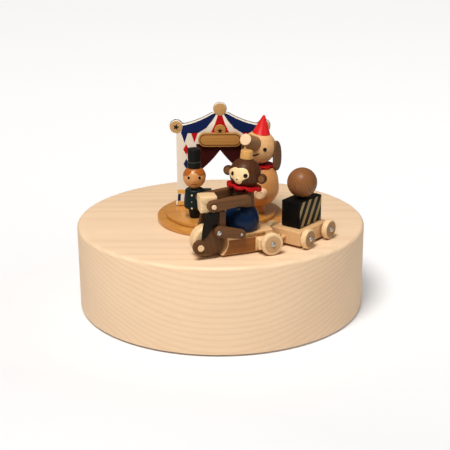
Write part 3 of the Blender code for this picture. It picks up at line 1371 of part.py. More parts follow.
def build_limbs(scooter):
    """Each arm is a flat bar from the torso's side to the handlebar, and each leg a flat bar."""
    outline = capsule(SHOULDER_PLACE, HANDLEBAR_PLACE, SHOULDER_RADIUS, HAND_RADIUS)
    grip = circle(HANDLEBAR_PLACE, HANDLEBAR_RADIUS + CLEARANCE)
    arm = plate([outline, grip], LIMB_THICKNESS)
    leg = plate([leg_outline()], LEG_THICKNESS)
    arm_y = TORSO_RADIUS + CLEARANCE + LIMB_THICKNESS / 2
    leg_y = leg_inner() + LEG_THICKNESS / 2
    for word, side in (("near", 1), ("far", -1)):
        part("monkey_arm_" + word, arm, WALNUT, (0, side * arm_y, 0), UPRIGHT, scooter)
        part("monkey_leg_" + word, leg, WALNUT, (0, side * leg_y, 0), UPRIGHT, scooter)


def hitch_in_trailer():
    """The hitch pin's place in the trailer's frame."""
    forward = HITCH_PLACE[0]
    outward = SCOOTER_RADIUS + HITCH_PLACE[1]
    turn = SCOOTER_HEADING - TRAILER_HEADING
    x = forward * math.cos(turn) - outward * math.sin(turn)
    y = forward * math.sin(turn) + outward * math.cos(turn)
    return (x, y - TRAILER_RADIUS)


def build_trailer(trailer):
    """A tray on two axles, with an eye at the front that drops over the hitch pin."""
    hitch = hitch_in_trailer()
    front = hitch[0] - HITCH_REACH
    height = TRAY_TOP - TRAY_BOTTOM
    place = ((front + TRAY_REAR) / 2, 0, (TRAY_TOP + TRAY_BOTTOM) / 2)
    block = box((front - TRAY_REAR, 2 * TRAY_HALF_WIDTH, height), TRAY_CORNER)
    tray = part("trailer_tray", block, MAPLE, place, parent=trailer)
    root = (front - EYE_RADIUS, hitch[1])
    outline = capsule(root, hitch, EYE_RADIUS, EYE_RADIUS)
    level = TONGUE_BOTTOM + TONGUE_THICKNESS + CLEARANCE + EYE_THICKNESS / 2
    fuse(tray, plate([outline], EYE_THICKNESS), (0, 0, level), parent=trailer)
    eye = rod(HITCH_PIN_RADIUS + CLEARANCE, EYE_THICKNESS + 2 * CLEARANCE)
    cut(tray, eye, (*hitch, level), parent=trailer)
    axle_height = TRAILER_WHEEL_RADIUS + ROLLING_GAP
    outer = TRAILER_WHEEL_INNER + TRAILER_WHEEL_WIDTH
    axle = headed_axle(outer + CLEARANCE)
    hub = AXLE_RADIUS + CLEARANCE
    bore = rod(hub, 2 * TRAY_HALF_WIDTH + OVERRUN)
    disc = wheel(TRAILER_WHEEL_RADIUS, TRAILER_WHEEL_WIDTH, WHEEL_EDGE, hub)
    for word, x in (("front", TRAILER_FRONT_AXLE), ("rear", TRAILER_REAR_AXLE)):
        cut(tray, bore, (x, 0, axle_height), ALONG_Y, trailer)
        part("trailer_axle_" + word, axle, STEEL, (x, 0, axle_height), ALONG_Y, trailer)
        for end, side in (("near", 1), ("far", -1)):
            y = side * (TRAILER_WHEEL_INNER + TRAILER_WHEEL_WIDTH / 2)
            name = f"trailer_wheel_{word}_{end}"
            part(name, disc, MAPLE, (x, y, axle_height), ALONG_Y, trailer)
    build_load(trailer)


def build_load(trailer):
    bottom = TRAY_TOP + CLEARANCE
    size = (CRATE_FRONT - CRATE_REAR, 2 * CRATE_HALF_WIDTH, CRATE_HEIGHT)
    middle = (CRATE_FRONT + CRATE_REAR) / 2
    crate = box(size, CRATE_EDGE)
    place = (middle, 0, bottom + CRATE_HEIGHT / 2)
    part("crate", crate, BLACK_PAINT, place, parent=trailer)
    flat = CARGO_FLAT - CARGO_RADIUS
    profile = egg(CARGO_RADIUS, CARGO_RADIUS, CARGO_RADIUS, CARGO_RADIUS, flat, 10)[1:]
    level = bottom + CRATE_HEIGHT + CLEARANCE - flat
    part("cargo_ball", turned(profile, LARGE_STEPS), WALNUT, (middle, 0, level), parent=trailer)


def main():
    clear_scene()
    build_drum()
    build_cover()
    build_winder()
    drive = empty("drive_axis", (0, 0, 0))
    build_barrel(drive)
    build_magnet_arm(drive)
    build_cylinder()
    build_comb()
    build_governor()
    build_bedplate()
    build_stage()
    build_tent()
    build_ringmaster()
    build_elephant()
    scooter = heading_frame("scooter_frame", SCOOTER_HEADING, SCOOTER_RADIUS)
    build_scooter_body(scooter)
    build_front_wheel(scooter)
    build_front(scooter)
    build_rear_wheels(scooter)
    build_monkey(scooter)
    build_trailer(heading_frame("trailer_frame", TRAILER_HEADING, TRAILER_RADIUS))


main()
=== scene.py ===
"""Looks for the wooden music box: a round drum with a circus stage, a ringmaster, an
elephant, and a monkey's scooter with a trailer that a magnet under the deck draws round.
Everything is in metres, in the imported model's frame: +Z up, -Y to the front."""

import math

import bmesh
import bpy
from mathutils import Matrix, Vector


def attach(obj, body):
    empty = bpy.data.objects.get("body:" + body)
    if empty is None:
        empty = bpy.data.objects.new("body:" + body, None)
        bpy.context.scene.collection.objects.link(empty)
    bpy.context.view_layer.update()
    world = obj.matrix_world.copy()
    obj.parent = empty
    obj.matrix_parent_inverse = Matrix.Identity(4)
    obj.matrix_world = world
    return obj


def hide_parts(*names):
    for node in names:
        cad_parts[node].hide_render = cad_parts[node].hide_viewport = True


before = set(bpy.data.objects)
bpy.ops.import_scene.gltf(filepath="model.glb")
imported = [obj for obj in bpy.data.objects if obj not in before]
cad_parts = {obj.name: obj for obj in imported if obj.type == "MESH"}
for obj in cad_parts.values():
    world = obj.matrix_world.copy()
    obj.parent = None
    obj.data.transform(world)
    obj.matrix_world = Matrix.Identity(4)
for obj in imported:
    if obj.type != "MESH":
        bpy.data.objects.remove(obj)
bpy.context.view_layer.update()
scene = bpy.context.scene
scene.view_settings.view_transform = "Standard"


# Camera: a long lens a little above the deck, level with the drum's front.
# Its distance, height, tilt and focal length were fitted to the drum's rims.
camera_data = bpy.data.cameras.new("photo_camera")
camera_data.lens = 84.3
camera_data.sensor_width = 36
camera_data.clip_start = 0.01
camera_data.clip_end = 20
camera = bpy.data.objects.new("photo_camera", camera_data)
scene.collection.objects.link(camera)
camera_tilt = math.radians(18.385)
camera_roll = math.radians(-0.308)
aim_point = Vector((0.00238, -0.0022, 0.04312))
camera_reach = 0.5731
away = Vector((0, math.cos(camera_tilt), -math.sin(camera_tilt)))
level = Vector((1, 0, 0))
rise = level.cross(away)
camera_x = level * math.cos(camera_roll) + rise * math.sin(camera_roll)
camera_y = rise * math.cos(camera_roll) - level * math.sin(camera_roll)
camera_turn = Matrix((camera_x, camera_y, -away)).transposed().to_4x4()
camera.matrix_world = Matrix.Translation(aim_point - away * camera_reach) @ camera_turn
scene.camera = camera


# Table and studio light: a pale table under a large soft lamp over the front left,
# a weaker one from the right, and a pale surround that glossy paint can mirror.
def node(tree, kind, inputs=None, **settings):
    """Adds a node: inputs are values or the sockets that feed them."""
    made = tree.nodes.new(kind)
    for key, value in settings.items():
        setattr(made, key, value)
    for key, value in (inputs or {}).items():
        socket = made.inputs[key]
        if isinstance(value, bpy.types.NodeSocket):
            tree.links.new(value, socket)
        else:
            socket.default_value = value
    return made


def blended(tree, factor, first, second):
    return node(
        tree,
        "ShaderNodeMix",
        {"Factor": factor, 6: (*first, 1) if isinstance(first, tuple) else first,
         7: (*second, 1) if isinstance(second, tuple) else second},
        data_type="RGBA",
    ).outputs[2]


SURROUND_LIGHT = 0.22
SURROUND_MIRRORED = 0.14
SURROUND_TINT = (1.0, 0.90, 0.76)
SURROUND_SEEN = (1, 1, 1)


def sky_strength(tree):
    """White to the eye, dim in reflections, and a soft fill for everything else."""
    path = node(tree, "ShaderNodeLightPath")
    mirrored_fill = node(
        tree,
        "ShaderNodeMath",
        {0: path.outputs["Is Glossy Ray"], 1: SURROUND_MIRRORED - SURROUND_LIGHT,
         2: SURROUND_LIGHT},
        operation="MULTIPLY_ADD",
    ).outputs[0]
    return node(
        tree,
        "ShaderNodeMath",
        {0: mirrored_fill, 1: path.outputs["Is Camera Ray"]},
        operation="MAXIMUM",
    ).outputs[0]


surround = bpy.data.worlds.new("pale_surround")
surround.use_nodes = True
scene.world = surround
sky = surround.node_tree
sky.nodes.clear()
sky_path = node(sky, "ShaderNodeLightPath")
sky_colour = blended(sky, sky_path.outputs["Is Camera Ray"], SURROUND_TINT, SURROUND_SEEN)
white_sky = node(
    sky, "ShaderNodeBackground", {"Color": sky_colour, "Strength": sky_strength(sky)}
)
node(sky, "ShaderNodeOutputWorld", {"Surface": white_sky.outputs[0]})

KEY_PLACE = (-0.15, -0.44, 0.88)
LAMP_FALLOFF = 4.0
TABLE_LAMP_LIGHT = 0.98
TABLE_LIFT = 0.73


def light_given_back(tree):
    """What the lamp's light on the table loses with distance, as a strength."""
    place = node(tree, "ShaderNodeTexCoord").outputs["Object"]
    reach = node(
        tree, "ShaderNodeVectorMath", {0: place, 1: KEY_PLACE}, operation="DISTANCE"
    ).outputs["Value"]
    share = node(tree, "ShaderNodeMath", {0: KEY_PLACE[2], 1: reach}, operation="DIVIDE")
    lamp_light = node(
        tree, "ShaderNodeMath", {0: share.outputs[0], 1: LAMP_FALLOFF}, operation="POWER"
    )
    return node(
        tree,
        "ShaderNodeMath",
        {0: lamp_light.outputs[0], 1: -TABLE_LAMP_LIGHT, 2: TABLE_LIFT},
        operation="MULTIPLY_ADD",
        use_clamp=True,
    ).outputs[0]


def table_surface(name, lit, seen):
    """A matt table that lights the object as painted and looks evenly pale to the eye."""
    made = bpy.data.materials.new(name)
    made.use_nodes = True
    tree = made.node_tree
    tree.nodes.clear()
    lighting = node(tree, "ShaderNodeBsdfDiffuse", {"Color": (*lit, 1)})
    to_eye = node(tree, "ShaderNodeBsdfDiffuse", {"Color": (*seen, 1)})
    lift = node(tree, "ShaderNodeEmission", {"Strength": light_given_back(tree)})
    lifted_look = node(tree, "ShaderNodeAddShader", {0: to_eye.outputs[0], 1: lift.outputs[0]})
    camera_ray = node(tree, "ShaderNodeLightPath").outputs["Is Camera Ray"]
    mix = node(
        tree,
        "ShaderNodeMixShader",
        {0: camera_ray, 1: lighting.outputs[0], 2: lifted_look.outputs[0]},
    )
    node(tree, "ShaderNodeOutputMaterial", {"Surface": mix.outputs[0]})
    return made


TABLE_HALF = 3.0
table_mesh = bpy.data.meshes.new("table")
table_mesh.from_pydata(
    [(-TABLE_HALF, -TABLE_HALF, 0), (TABLE_HALF, -TABLE_HALF, 0),
     (TABLE_HALF, TABLE_HALF, 0), (-TABLE_HALF, TABLE_HALF, 0)],
    [],
    [(0, 1, 2, 3)],
)
table_mesh.materials.append(
    table_surface("pale_table", lit=(0.86, 0.86, 0.86), seen=(0.76, 0.81, 0.90))
)
table = bpy.data.objects.new("table", table_mesh)
scene.collection.objects.link(table)


LAMP_AIM = 0.05


def soft_lamp(name, place, size, power, colour=(1, 1, 1)):
    lamp_data = bpy.data.lights.new(name, "AREA")
    lamp_data.shape = "DISK"
    lamp_data.size = size
    lamp_data.energy = power
    lamp_data.color = colour
    lamp = bpy.data.objects.new(name, lamp_data)
    lamp.location = place
    aim = Vector((0, 0, LAMP_AIM)) - Vector(place)
    lamp.rotation_euler = aim.to_track_quat("-Z", "Y").to_euler()
    scene.collection.objects.link(lamp)


soft_lamp("key_lamp", KEY_PLACE, size=0.4, power=10.2, colour=(1.0, 0.93, 0.83))
soft_lamp("right_lamp", (0.75, -0.25, 0.6), size=0.5, power=0.5)


# Drum: one turned block of pale maple, oiled and unpainted, hollow from below.
# Its growth rings run along X, so they cross the deck in lines and sweep up the sides.
def summed(tree, *terms):
    """The sum of sockets, each times its share."""
    total = 0.0
    for socket, share in terms:
        total = node(
            tree, "ShaderNodeMath", {0: socket, 1: share, 2: total}, operation="MULTIPLY_ADD"
        ).outputs[0]
    return total


def placed(tree, centre=(0, 0, 0), turn=(0, 0, 0), stretch=(1, 1, 1)):
    """Object coordinates in a frame of the piece's own, squeezed along the grain."""
    source = node(tree, "ShaderNodeTexCoord").outputs["Object"]
    local = node(
        tree,
        "ShaderNodeMapping",
        {"Vector": source, "Location": centre, "Rotation": turn},
        vector_type="TEXTURE",
    ).outputs[0]
    return node(tree, "ShaderNodeMapping", {"Vector": local, "Scale": stretch}).outputs[0]


def noise(tree, place, scale, detail):
    inputs = {"Vector": place, "Scale": scale, "Detail": detail}
    return node(tree, "ShaderNodeTexNoise", inputs).outputs["Fac"]


def between_levels(tree, value, low, high):
    inputs = {"Value": value, "To Min": low, "To Max": high}
    return node(tree, "ShaderNodeMapRange", inputs).outputs[0]


def principled(name):
    """A new material with its node tree and its surface."""
    made = bpy.data.materials.new(name)
    made.use_nodes = True
    return made, made.node_tree, made.node_tree.nodes["Principled BSDF"]


def surfaced(surface, colour, rough, height, strength, distance):
    """Feeds a surface its colour, its roughness and the relief of its grain."""
    tree = surface.id_data
    inputs = {"Height": height, "Strength": strength, "Distance": distance}
    bump = node(tree, "ShaderNodeBump", inputs)
    tree.links.new(colour, surface.inputs["Base Color"])
    tree.links.new(rough, surface.inputs["Roughness"])
    tree.links.new(bump.outputs[0], surface.inputs["Normal"])


def glossed(surface, gloss, coat, coat_roughness):
    surface.inputs["Specular IOR Level"].default_value = gloss
    surface.inputs["Coat Weight"].default_value = coat
    surface.inputs["Coat Roughness"].default_value = coat_roughness


def wood(
    name,
    pale,
    dark,
    centre=(0, 0, 0),
    turn=(0, 0, 0),
    ring=0.003,
    rings=0.35,
    fibre=0.0006,
    fibres=0.35,
    patches=0.3,
    flecks=0.0,
    roughness=0.5,
    coat=0.0,
    wobble=2.5,
    gloss=0.4,
):
    """Wood with its grain along the local X: growth rings, fibres, patches and pores."""
    made, tree, surface = principled(name)

    def grain(stretch, scale, detail):
        return noise(tree, placed(tree, centre, turn, (stretch, 1, 1)), scale, detail)

    ring_wave = node(
        tree,
        "ShaderNodeTexWave",
        {"Vector": placed(tree, centre, turn, (0.12, 1, 1)), "Scale": math.tau / 20 / ring,
         "Distortion": wobble, "Detail": 2.0, "Detail Scale": 0.35, "Detail Roughness": 0.55},
        wave_type="RINGS",
        rings_direction="X",
    ).outputs["Fac"]
    ring_line = node(
        tree, "ShaderNodeMath", {0: ring_wave, 1: 2.6}, operation="POWER"
    ).outputs[0]
    fibre_noise = grain(0.05, 0.6 / fibre, 3.0)
    patch_noise = grain(0.35, 55.0, 2.0)
    pores = node(
        tree,
        "ShaderNodeMapRange",
        {"Value": grain(0.16, 1.6 / fibre, 1.0), "From Min": 0.60, "From Max": 0.70},
        clamp=True,
    ).outputs[0]
    tone = summed(
        tree, (ring_line, rings), (fibre_noise, fibres), (patch_noise, patches), (pores, flecks)
    )
    shift = -0.5 * (fibres + patches) + 0.12
    tone = node(tree, "ShaderNodeMath", {0: tone, 1: shift}, operation="ADD", use_clamp=True)
    surfaced(
        surface,
        blended(tree, tone.outputs[0], pale, dark),
        between_levels(tree, fibre_noise, roughness - 0.06, roughness + 0.08),
        summed(tree, (fibre_noise, 0.6), (pores, -0.4), (ring_line, -0.3)),
        strength=0.25 if coat else 0.5,
        distance=0.00006,
    )
    glossed(surface, gloss, coat, 0.12)
    return made


def turned(profile, steps=96, ring=False):
    """A turned shape about Z from (radius, height) points, down its outer side."""
    shape = bmesh.new()
    rows = []
    for radius, height in profile:
        sides = steps if radius > 1e-7 else 1
        angles = [math.tau * k / steps for k in range(sides)]
        rows.append(
            [shape.verts.new((radius * math.cos(a), radius * math.sin(a), height)) for a in angles]
        )
    for upper, lower in zip(rows, rows[1:] + rows[:1] if ring else rows[1:]):
        for k in range(steps):
            corners = (
                upper[k % len(upper)],
                lower[k % len(lower)],
                lower[(k + 1) % len(lower)],
                upper[(k + 1) % len(upper)],
            )
            face = list(dict.fromkeys(corners))
            if len(face) > 2:
                shape.faces.new(face)
    return smooth(shape)


def smooth(shape, sharp=32):
    """The bmesh as a mesh, smooth but for its sharp edges."""
    mesh = bpy.data.meshes.new("shape")
    shape.to_mesh(mesh)
    shape.free()
    mesh.shade_smooth()
    mesh.set_sharp_from_angle(angle=math.radians(sharp))
    return mesh


def arc(centre, radius, start, end, steps):
    """Points on an arc, from one angle in degrees to another."""
    angles = [math.radians(start + (end - start) * i / steps) for i in range(steps + 1)]
    return [(centre[0] + radius * math.cos(a), centre[1] + radius * math.sin(a)) for a in angles]


def put(name, mesh, finish, body, place=None, stands_for=()):
    """A finished piece, with its place in its mesh, riding on a body."""
    mesh.transform(place or Matrix())
    if place and place.is_negative:
        mesh.flip_normals()
    mesh.materials.clear()
    mesh.materials.append(finish)
    made = bpy.data.objects.new(name, mesh)
    scene.collection.objects.link(made)
    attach(made, body)
    if stands_for:
        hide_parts(*stands_for)
    return made


DRUM_RADIUS = 0.0775
DECK = 0.0465
DRUM_FOOT = 0.001
DRUM_FILLET = 0.0018
FOOT_ROUND = 0.0005
RECESS_RADIUS = 0.066
SHOULDER = 0.0118
CAVITY_RADIUS = 0.060
CAVITY_TOP = 0.0425
drum_rim = (DRUM_RADIUS - DRUM_FILLET, DECK - DRUM_FILLET)
drum_foot_edge = (DRUM_RADIUS - FOOT_ROUND, DRUM_FOOT + FOOT_ROUND)
drum_profile = [
    (0, DECK),
    *[(DRUM_RADIUS * share, DECK) for share in (0.25, 0.5, 0.75, 0.9)],
    *arc(drum_rim, DRUM_FILLET, 90, 0, 8),
    *arc(drum_foot_edge, FOOT_ROUND, 0, -90, 3),
    (RECESS_RADIUS, DRUM_FOOT),
    (RECESS_RADIUS, SHOULDER),
    (CAVITY_RADIUS, SHOULDER),
    (CAVITY_RADIUS, CAVITY_TOP),
    (0, CAVITY_TOP),
]
drum_maple = wood(
    "drum_maple", (0.86, 0.67, 0.49), (0.58, 0.37, 0.22), centre=(0, -0.012, -0.085),
    ring=0.0027, rings=0.17, fibre=0.0005, fibres=0.24, patches=0.24, flecks=0.06,
    roughness=0.5, wobble=6.0,
)
put("drum_block", turned(drum_profile, steps=256), drum_maple, "case", None, ["drum"])


# Winding disc, foot ring, bottom cover and screws: a maple disc on a rubber ring,
# under a birch plywood cover that three countersunk screws hold to the drum.
def dress(finish, *names):
    """Gives CAD nodes that stay a finish of their own."""
    for name in names:
        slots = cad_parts[name].data.materials
        slots.clear()
        slots.append(finish)


def metal(name, colour, roughness, grain=1800.0, along=(1, 0.04, 1)):
    """Bright metal with fine drawn or turned marks."""
    made, tree, surface = principled(name)
    marks = noise(tree, placed(tree, stretch=along), grain, 2.0)
    tarnish = noise(tree, placed(tree), 160.0, 3.0)
    tint = node(tree, "ShaderNodeMapRange", {"Value": tarnish, "From Min": 0.45, "To Max": 0.6})
    dull = tuple(0.72 * c for c in colour)
    rough = summed(tree, (marks, 0.18), (tarnish, 0.08))
    rough = node(tree, "ShaderNodeMath", {0: rough, 1: roughness - 0.13}, operation="ADD")
    surfaced(
        surface, blended(tree, tint.outputs[0], colour, dull), rough.outputs[0], marks,
        strength=0.15, distance=0.00003,
    )
    surface.inputs["Metallic"].default_value = 1.0
    return made


def moulded(name, colour, roughness, speck=1400.0):
    """Moulded rubber with a fine matt skin."""
    made, tree, surface = principled(name)
    grit = noise(tree, placed(tree), speck, 2.0)
    lighter = tuple(min(1.0, c * 1.8 + 0.01) for c in colour)
    surfaced(
        surface,
        blended(tree, grit, colour, lighter),
        between_levels(tree, grit, roughness - 0.08, roughness + 0.08),
        grit,
        strength=0.4,
        distance=0.00005,
    )
    return made


disc_maple = wood(
    "disc_maple", (0.80, 0.60, 0.42), (0.55, 0.36, 0.22), centre=(0, 0.01, -0.03),
    ring=0.003, rings=0.25, fibres=0.25, patches=0.2,
)
plywood = wood(
    "birch_plywood", (0.66, 0.48, 0.31), (0.42, 0.27, 0.15), centre=(0, 0, -0.02),
    turn=(0, 0, math.pi / 2), ring=0.006, rings=0.2, fibres=0.4, patches=0.3, roughness=0.65,
)
screw_steel = metal("zinc_plated_steel", (0.62, 0.62, 0.63), roughness=0.32)
black_rubber = moulded("black_rubber", (0.018, 0.018, 0.018), roughness=0.8)
DISC_BOTTOM = 0.0015
DISC_TOP = 0.0070
DISC_RADIUS = 0.062
DISC_BORE = 0.0019
DISC_ROUND = 0.0008
winding_profile = [
    (DISC_BORE, DISC_TOP),
    *arc((DISC_RADIUS - DISC_ROUND, DISC_TOP - DISC_ROUND), DISC_ROUND, 90, 0, 4),
    *arc((DISC_RADIUS - DISC_ROUND, DISC_BOTTOM + DISC_ROUND), DISC_ROUND, 0, -90, 4),
    (DISC_BORE, DISC_BOTTOM),
]
put(
    "winding_base", turned(winding_profile, steps=128, ring=True), disc_maple, "winder",
    None, ["winding_disc"],
)
RING_INNER = 0.050
RING_OUTER = 0.058
RING_TOP = 0.0012
RING_ROUND = 0.0003
foot_profile = [
    (RING_INNER, RING_TOP),
    *arc((RING_OUTER - RING_ROUND, RING_TOP - RING_ROUND), RING_ROUND, 90, 0, 3),
    *arc((RING_OUTER - RING_ROUND, RING_ROUND), RING_ROUND, 0, -90, 3),
    *arc((RING_INNER + RING_ROUND, RING_ROUND), RING_ROUND, -90, -180, 3),
]
put(
    "rubber_foot", turned(foot_profile, steps=128, ring=True), black_rubber, "winder",
    None, ["foot_ring"],
)
dress(plywood, "bottom_cover")
dress(screw_steel, "cover_screw_1", "cover_screw_2", "cover_screw_3")


# Musical movement under the deck: a cast bedplate, a tempered steel comb, a pinned
# brass cylinder with its gears and governor, and the steel arm that carries a magnet.
cast_metal = metal("cast_zinc", (0.46, 0.46, 0.48), roughness=0.5, grain=900.0, along=(1, 1, 1))
comb_steel = metal(
    "comb_steel", (0.60, 0.61, 0.63), roughness=0.25, grain=2200.0, along=(1, 0.05, 1)
)
gear_brass = metal(
    "gear_brass", (0.78, 0.57, 0.26), roughness=0.3, grain=1600.0, along=(0.1, 1, 1)
)
arm_steel = metal(
    "arm_steel", (0.50, 0.50, 0.51), roughness=0.36, grain=1500.0, along=(0.2, 1, 1)
)
magnet_plating = metal(
    "nickel_plating", (0.66, 0.65, 0.62), roughness=0.2, grain=700.0, along=(1, 1, 1)
)
dress(cast_metal, "movement_bedplate")
dress(comb_steel, "tone_comb")
dress(gear_brass, "spring_barrel", "pinned_cylinder", "governor_wheel", "governor_fan")
dress(arm_steel, "magnet_arm", "winding_arbor")
dress(magnet_plating, "arm_magnet", "scooter_magnet")


# Stage: two turned discs one on the other, stained golden tan and lacquered to a gloss.
# Their upper rims are rounded over.
SEAT = 0.0003
STAGE_LOWER = 0.0342
STAGE_UPPER = 0.0299
STAGE_STEP = DECK + 0.003
STAGE_TOP = 0.0519
golden_lacquer = wood(
    "golden_lacquer", (0.60, 0.275, 0.058), (0.36, 0.13, 0.020), centre=(0.004, -0.01, 0.02),
    turn=(0, 0, 0.2), ring=0.0032, rings=0.22, fibre=0.0005, fibres=0.3, patches=0.3,
    flecks=0.1, roughness=0.3, coat=0.5, gloss=0.3,
)


def stage_disc(radius, bottom, top):
    """A disc's profile, straight at the side, with its upper rim rounded over."""
    edge = 0.0006
    return [
        (0, top),
        *[(radius * share, top) for share in (0.3, 0.6, 0.85)],
        *arc((radius - edge, top - edge), edge, 90, 0, 5),
        (radius, bottom),
        (0, bottom),
    ]


put(
    "stage_lower_disc", turned(stage_disc(STAGE_LOWER, DECK + SEAT, STAGE_STEP), steps=160),
    golden_lacquer, "case", None, ["stage_lower"],
)
put(
    "stage_upper_disc", turned(stage_disc(STAGE_UPPER, STAGE_STEP + SEAT, STAGE_TOP), steps=160),
    golden_lacquer, "case", None, ["stage_upper"],
)


# Tent front: a white board cut to the outline of a circus tent, with its stripes,
# pennants and lozenges painted on, and dark curtains with raised folds in the doorway.
def paint(name, colour, roughness=0.4, coat=0.08, mottle=0.16, gloss=0.2):
    """Brushed paint over fine wood: slightly uneven, thin on the grain."""
    made, tree, surface = principled(name)
    cloud = noise(tree, placed(tree), 260.0, 3.0)
    grain = noise(tree, placed(tree, stretch=(1, 1, 0.08)), 1900.0, 2.0)
    darker = tuple((1 - mottle) * c for c in colour)
    lighter = tuple(min(1.0, c * (1 + 0.5 * mottle) + 0.004) for c in colour)
    tone = summed(tree, (cloud, 0.7), (grain, 0.3))
    surfaced(
        surface,
        blended(tree, tone, darker, lighter),
        between_levels(tree, grain, roughness - 0.06, roughness + 0.1),
        tone,
        strength=0.3,
        distance=0.00005,
    )
    glossed(surface, gloss, coat, 0.2)
    return made


def evaluated(obj):
    """The object's shape with its modifiers, as a mesh of its own; the object goes."""
    bpy.context.view_layer.update()
    graph = bpy.context.evaluated_depsgraph_get()
    mesh = bpy.data.meshes.new_from_object(obj.evaluated_get(graph))
    bpy.data.objects.remove(obj)
    return mesh


def draft(data):
    made = bpy.data.objects.new("draft", data)
    scene.collection.objects.link(made)
    return made


def slab(outlines, thickness, edge=0.0, rounds=2):
    """A flat plate in XY with rounded edges. The first outline is its rim, the rest are holes."""
    curve = bpy.data.curves.new("outline", "CURVE")
    curve.dimensions = "2D"
    curve.fill_mode = "BOTH"
    curve.extrude = thickness / 2 - edge
    curve.bevel_depth = edge
    curve.bevel_resolution = rounds
    curve.offset = -edge
    for outline in outlines:
        spline = curve.splines.new("POLY")
        spline.points.add(len(outline) - 1)
        for point, (x, y) in zip(spline.points, outline):
            point.co = (x, y, 0, 1)
        spline.use_cyclic_u = True
    shape = bmesh.new()
    shape.from_mesh(evaluated(draft(curve)))
    bmesh.ops.remove_doubles(shape, verts=shape.verts, dist=2e-6)
    bmesh.ops.recalc_face_normals(shape, faces=shape.faces)
    return smooth(shape)


def repeat_tree():
    """Copies of a shape along a line, in even steps."""
    tree = bpy.data.node_groups.new("repeat_in_steps", "GeometryNodeTree")
    face = tree.interface
    for name, kind in (
        ("Shape", "NodeSocketObject"),
        ("Count", "NodeSocketInt"),
        ("Step", "NodeSocketVector"),
        ("Finish", "NodeSocketMaterial"),
    ):
        face.new_socket(name, in_out="INPUT", socket_type=kind)
    face.new_socket("Geometry", in_out="OUTPUT", socket_type="NodeSocketGeometry")
    given = node(tree, "NodeGroupInput").outputs
    line = node(
        tree, "GeometryNodeMeshLine", {"Count": given["Count"], "Offset": given["Step"]},
        mode="OFFSET",
    )
    shape = node(tree, "GeometryNodeObjectInfo", {"Object": given["Shape"]})
    copies = node(
        tree,
        "GeometryNodeInstanceOnPoints",
        {"Points": line.outputs[0], "Instance": shape.outputs["Geometry"]},
    ).outputs[0]
    real = node(tree, "GeometryNodeRealizeInstances", {"Geometry": copies}).outputs[0]
    done = node(
        tree, "GeometryNodeSetMaterial", {"Geometry": real, "Material": given["Finish"]}
    ).outputs[0]
    node(tree, "NodeGroupOutput", {"Geometry": done})
    return tree


REPEAT = repeat_tree()


def repeated(shape, count, step, finish, trim=None):
    """The mesh of count copies of a shape, trimmed to the mesh trim where that is given."""
    pattern = draft(shape)
    host = draft(bpy.data.meshes.new("copies"))
    steps = host.modifiers.new("Repeat", "NODES")
    steps.node_group = REPEAT
    values = {"Shape": pattern, "Count": count, "Step": step, "Finish": finish}
    for item in REPEAT.interface.items_tree:
        if item.in_out == "INPUT":
            steps[item.identifier] = values[item.name]
    if trim:
        keep = draft(trim)
        crop = host.modifiers.new("Crop", "BOOLEAN")
        crop.operation = "INTERSECT"
        crop.solver = "EXACT"
        crop.object = keep
    mesh = evaluated(host)
    bpy.data.objects.remove(pattern)
    if trim:
        bpy.data.objects.remove(keep)
    return mesh


def mirrored(half):
    """A closed outline from its half at x >= 0, whose first and last points are on the axis."""
    return half + [(-x, y) for x, y in reversed(half) if x > 1e-6]


def bow(start, end, sag, steps=10):
    """Points from start to end on a line that sags in the middle, both ends included."""
    points = []
    for index in range(steps + 1):
        t = index / steps
        x = start[0] + (end[0] - start[0]) * t
        y = start[1] + (end[1] - start[1]) * t - sag * 4 * t * (1 - t)
        points.append((x, y))
    return points


def shifted(mesh, matrix):
    mesh.transform(matrix)
    return mesh


def rectangle(left, right, bottom, top, corner=0.0, steps=5):
    if not corner:
        return [(left, bottom), (right, bottom), (right, top), (left, top)]
    return [
        *arc((right - corner, bottom + corner), corner, -90, 0, steps),
        *arc((right - corner, top - corner), corner, 0, 90, steps),
        *arc((left + corner, top - corner), corner, 90, 180, steps),
        *arc((left + corner, bottom + corner), corner, 180, 270, steps),
    ]


UPRIGHT = Matrix.Rotation(math.pi / 2, 4, "X")
FACE_Y = 0.0051
BOARD = 0.003
TENT_FOOT = STAGE_TOP + SEAT
HALF_WIDTH = 0.0235
INNER = 0.013
SIDE_DISC = (HALF_WIDTH, 0.0438)
PEAK_DISC = (0.0, 0.0533)
DISC = 0.0034
PLINTH_REACH = HALF_WIDTH + 0.0009
ARCH_PEAK = 0.031
ARCH_FOLD = (0.0085, 0.0216)
ARCH_FOOT = 0.0192
roof_side = (HALF_WIDTH - DISC, SIDE_DISC[1] + 0.0011)
roof_peak = (DISC, PEAK_DISC[1] - DISC / 2)
roof = bow(roof_side, roof_peak, sag=0.00095, steps=16)
arch = [
    *bow((0, ARCH_PEAK), ARCH_FOLD, sag=0.0005, steps=12),
    *bow(ARCH_FOLD, (INNER, ARCH_FOOT), sag=0.0005, steps=6)[1:],
]
board_outline = mirrored(
    [
        *arch,
        (INNER, 0),
        (PLINTH_REACH, 0),
        (PLINTH_REACH, 0.0017),
        (HALF_WIDTH, 0.0026),
        *arc(SIDE_DISC, DISC, -90, 160, 40),
        *roof[1:-1],
        *arc(PEAK_DISC, DISC, -30, 90, 20),
    ]
)
tent_white = paint("tent_white", (0.80, 0.74, 0.67), roughness=0.42, coat=0.1, mottle=0.06)
navy = paint(
    "navy_paint", (0.0022, 0.012, 0.085), roughness=0.4, coat=0.0, mottle=0.16, gloss=0.12
)
scarlet = paint(
    "scarlet_paint", (0.46, 0.004, 0.008), roughness=0.38, coat=0.0, mottle=0.16, gloss=0.12
)
amber = paint("amber_paint", (0.78, 0.42, 0.10), roughness=0.4)
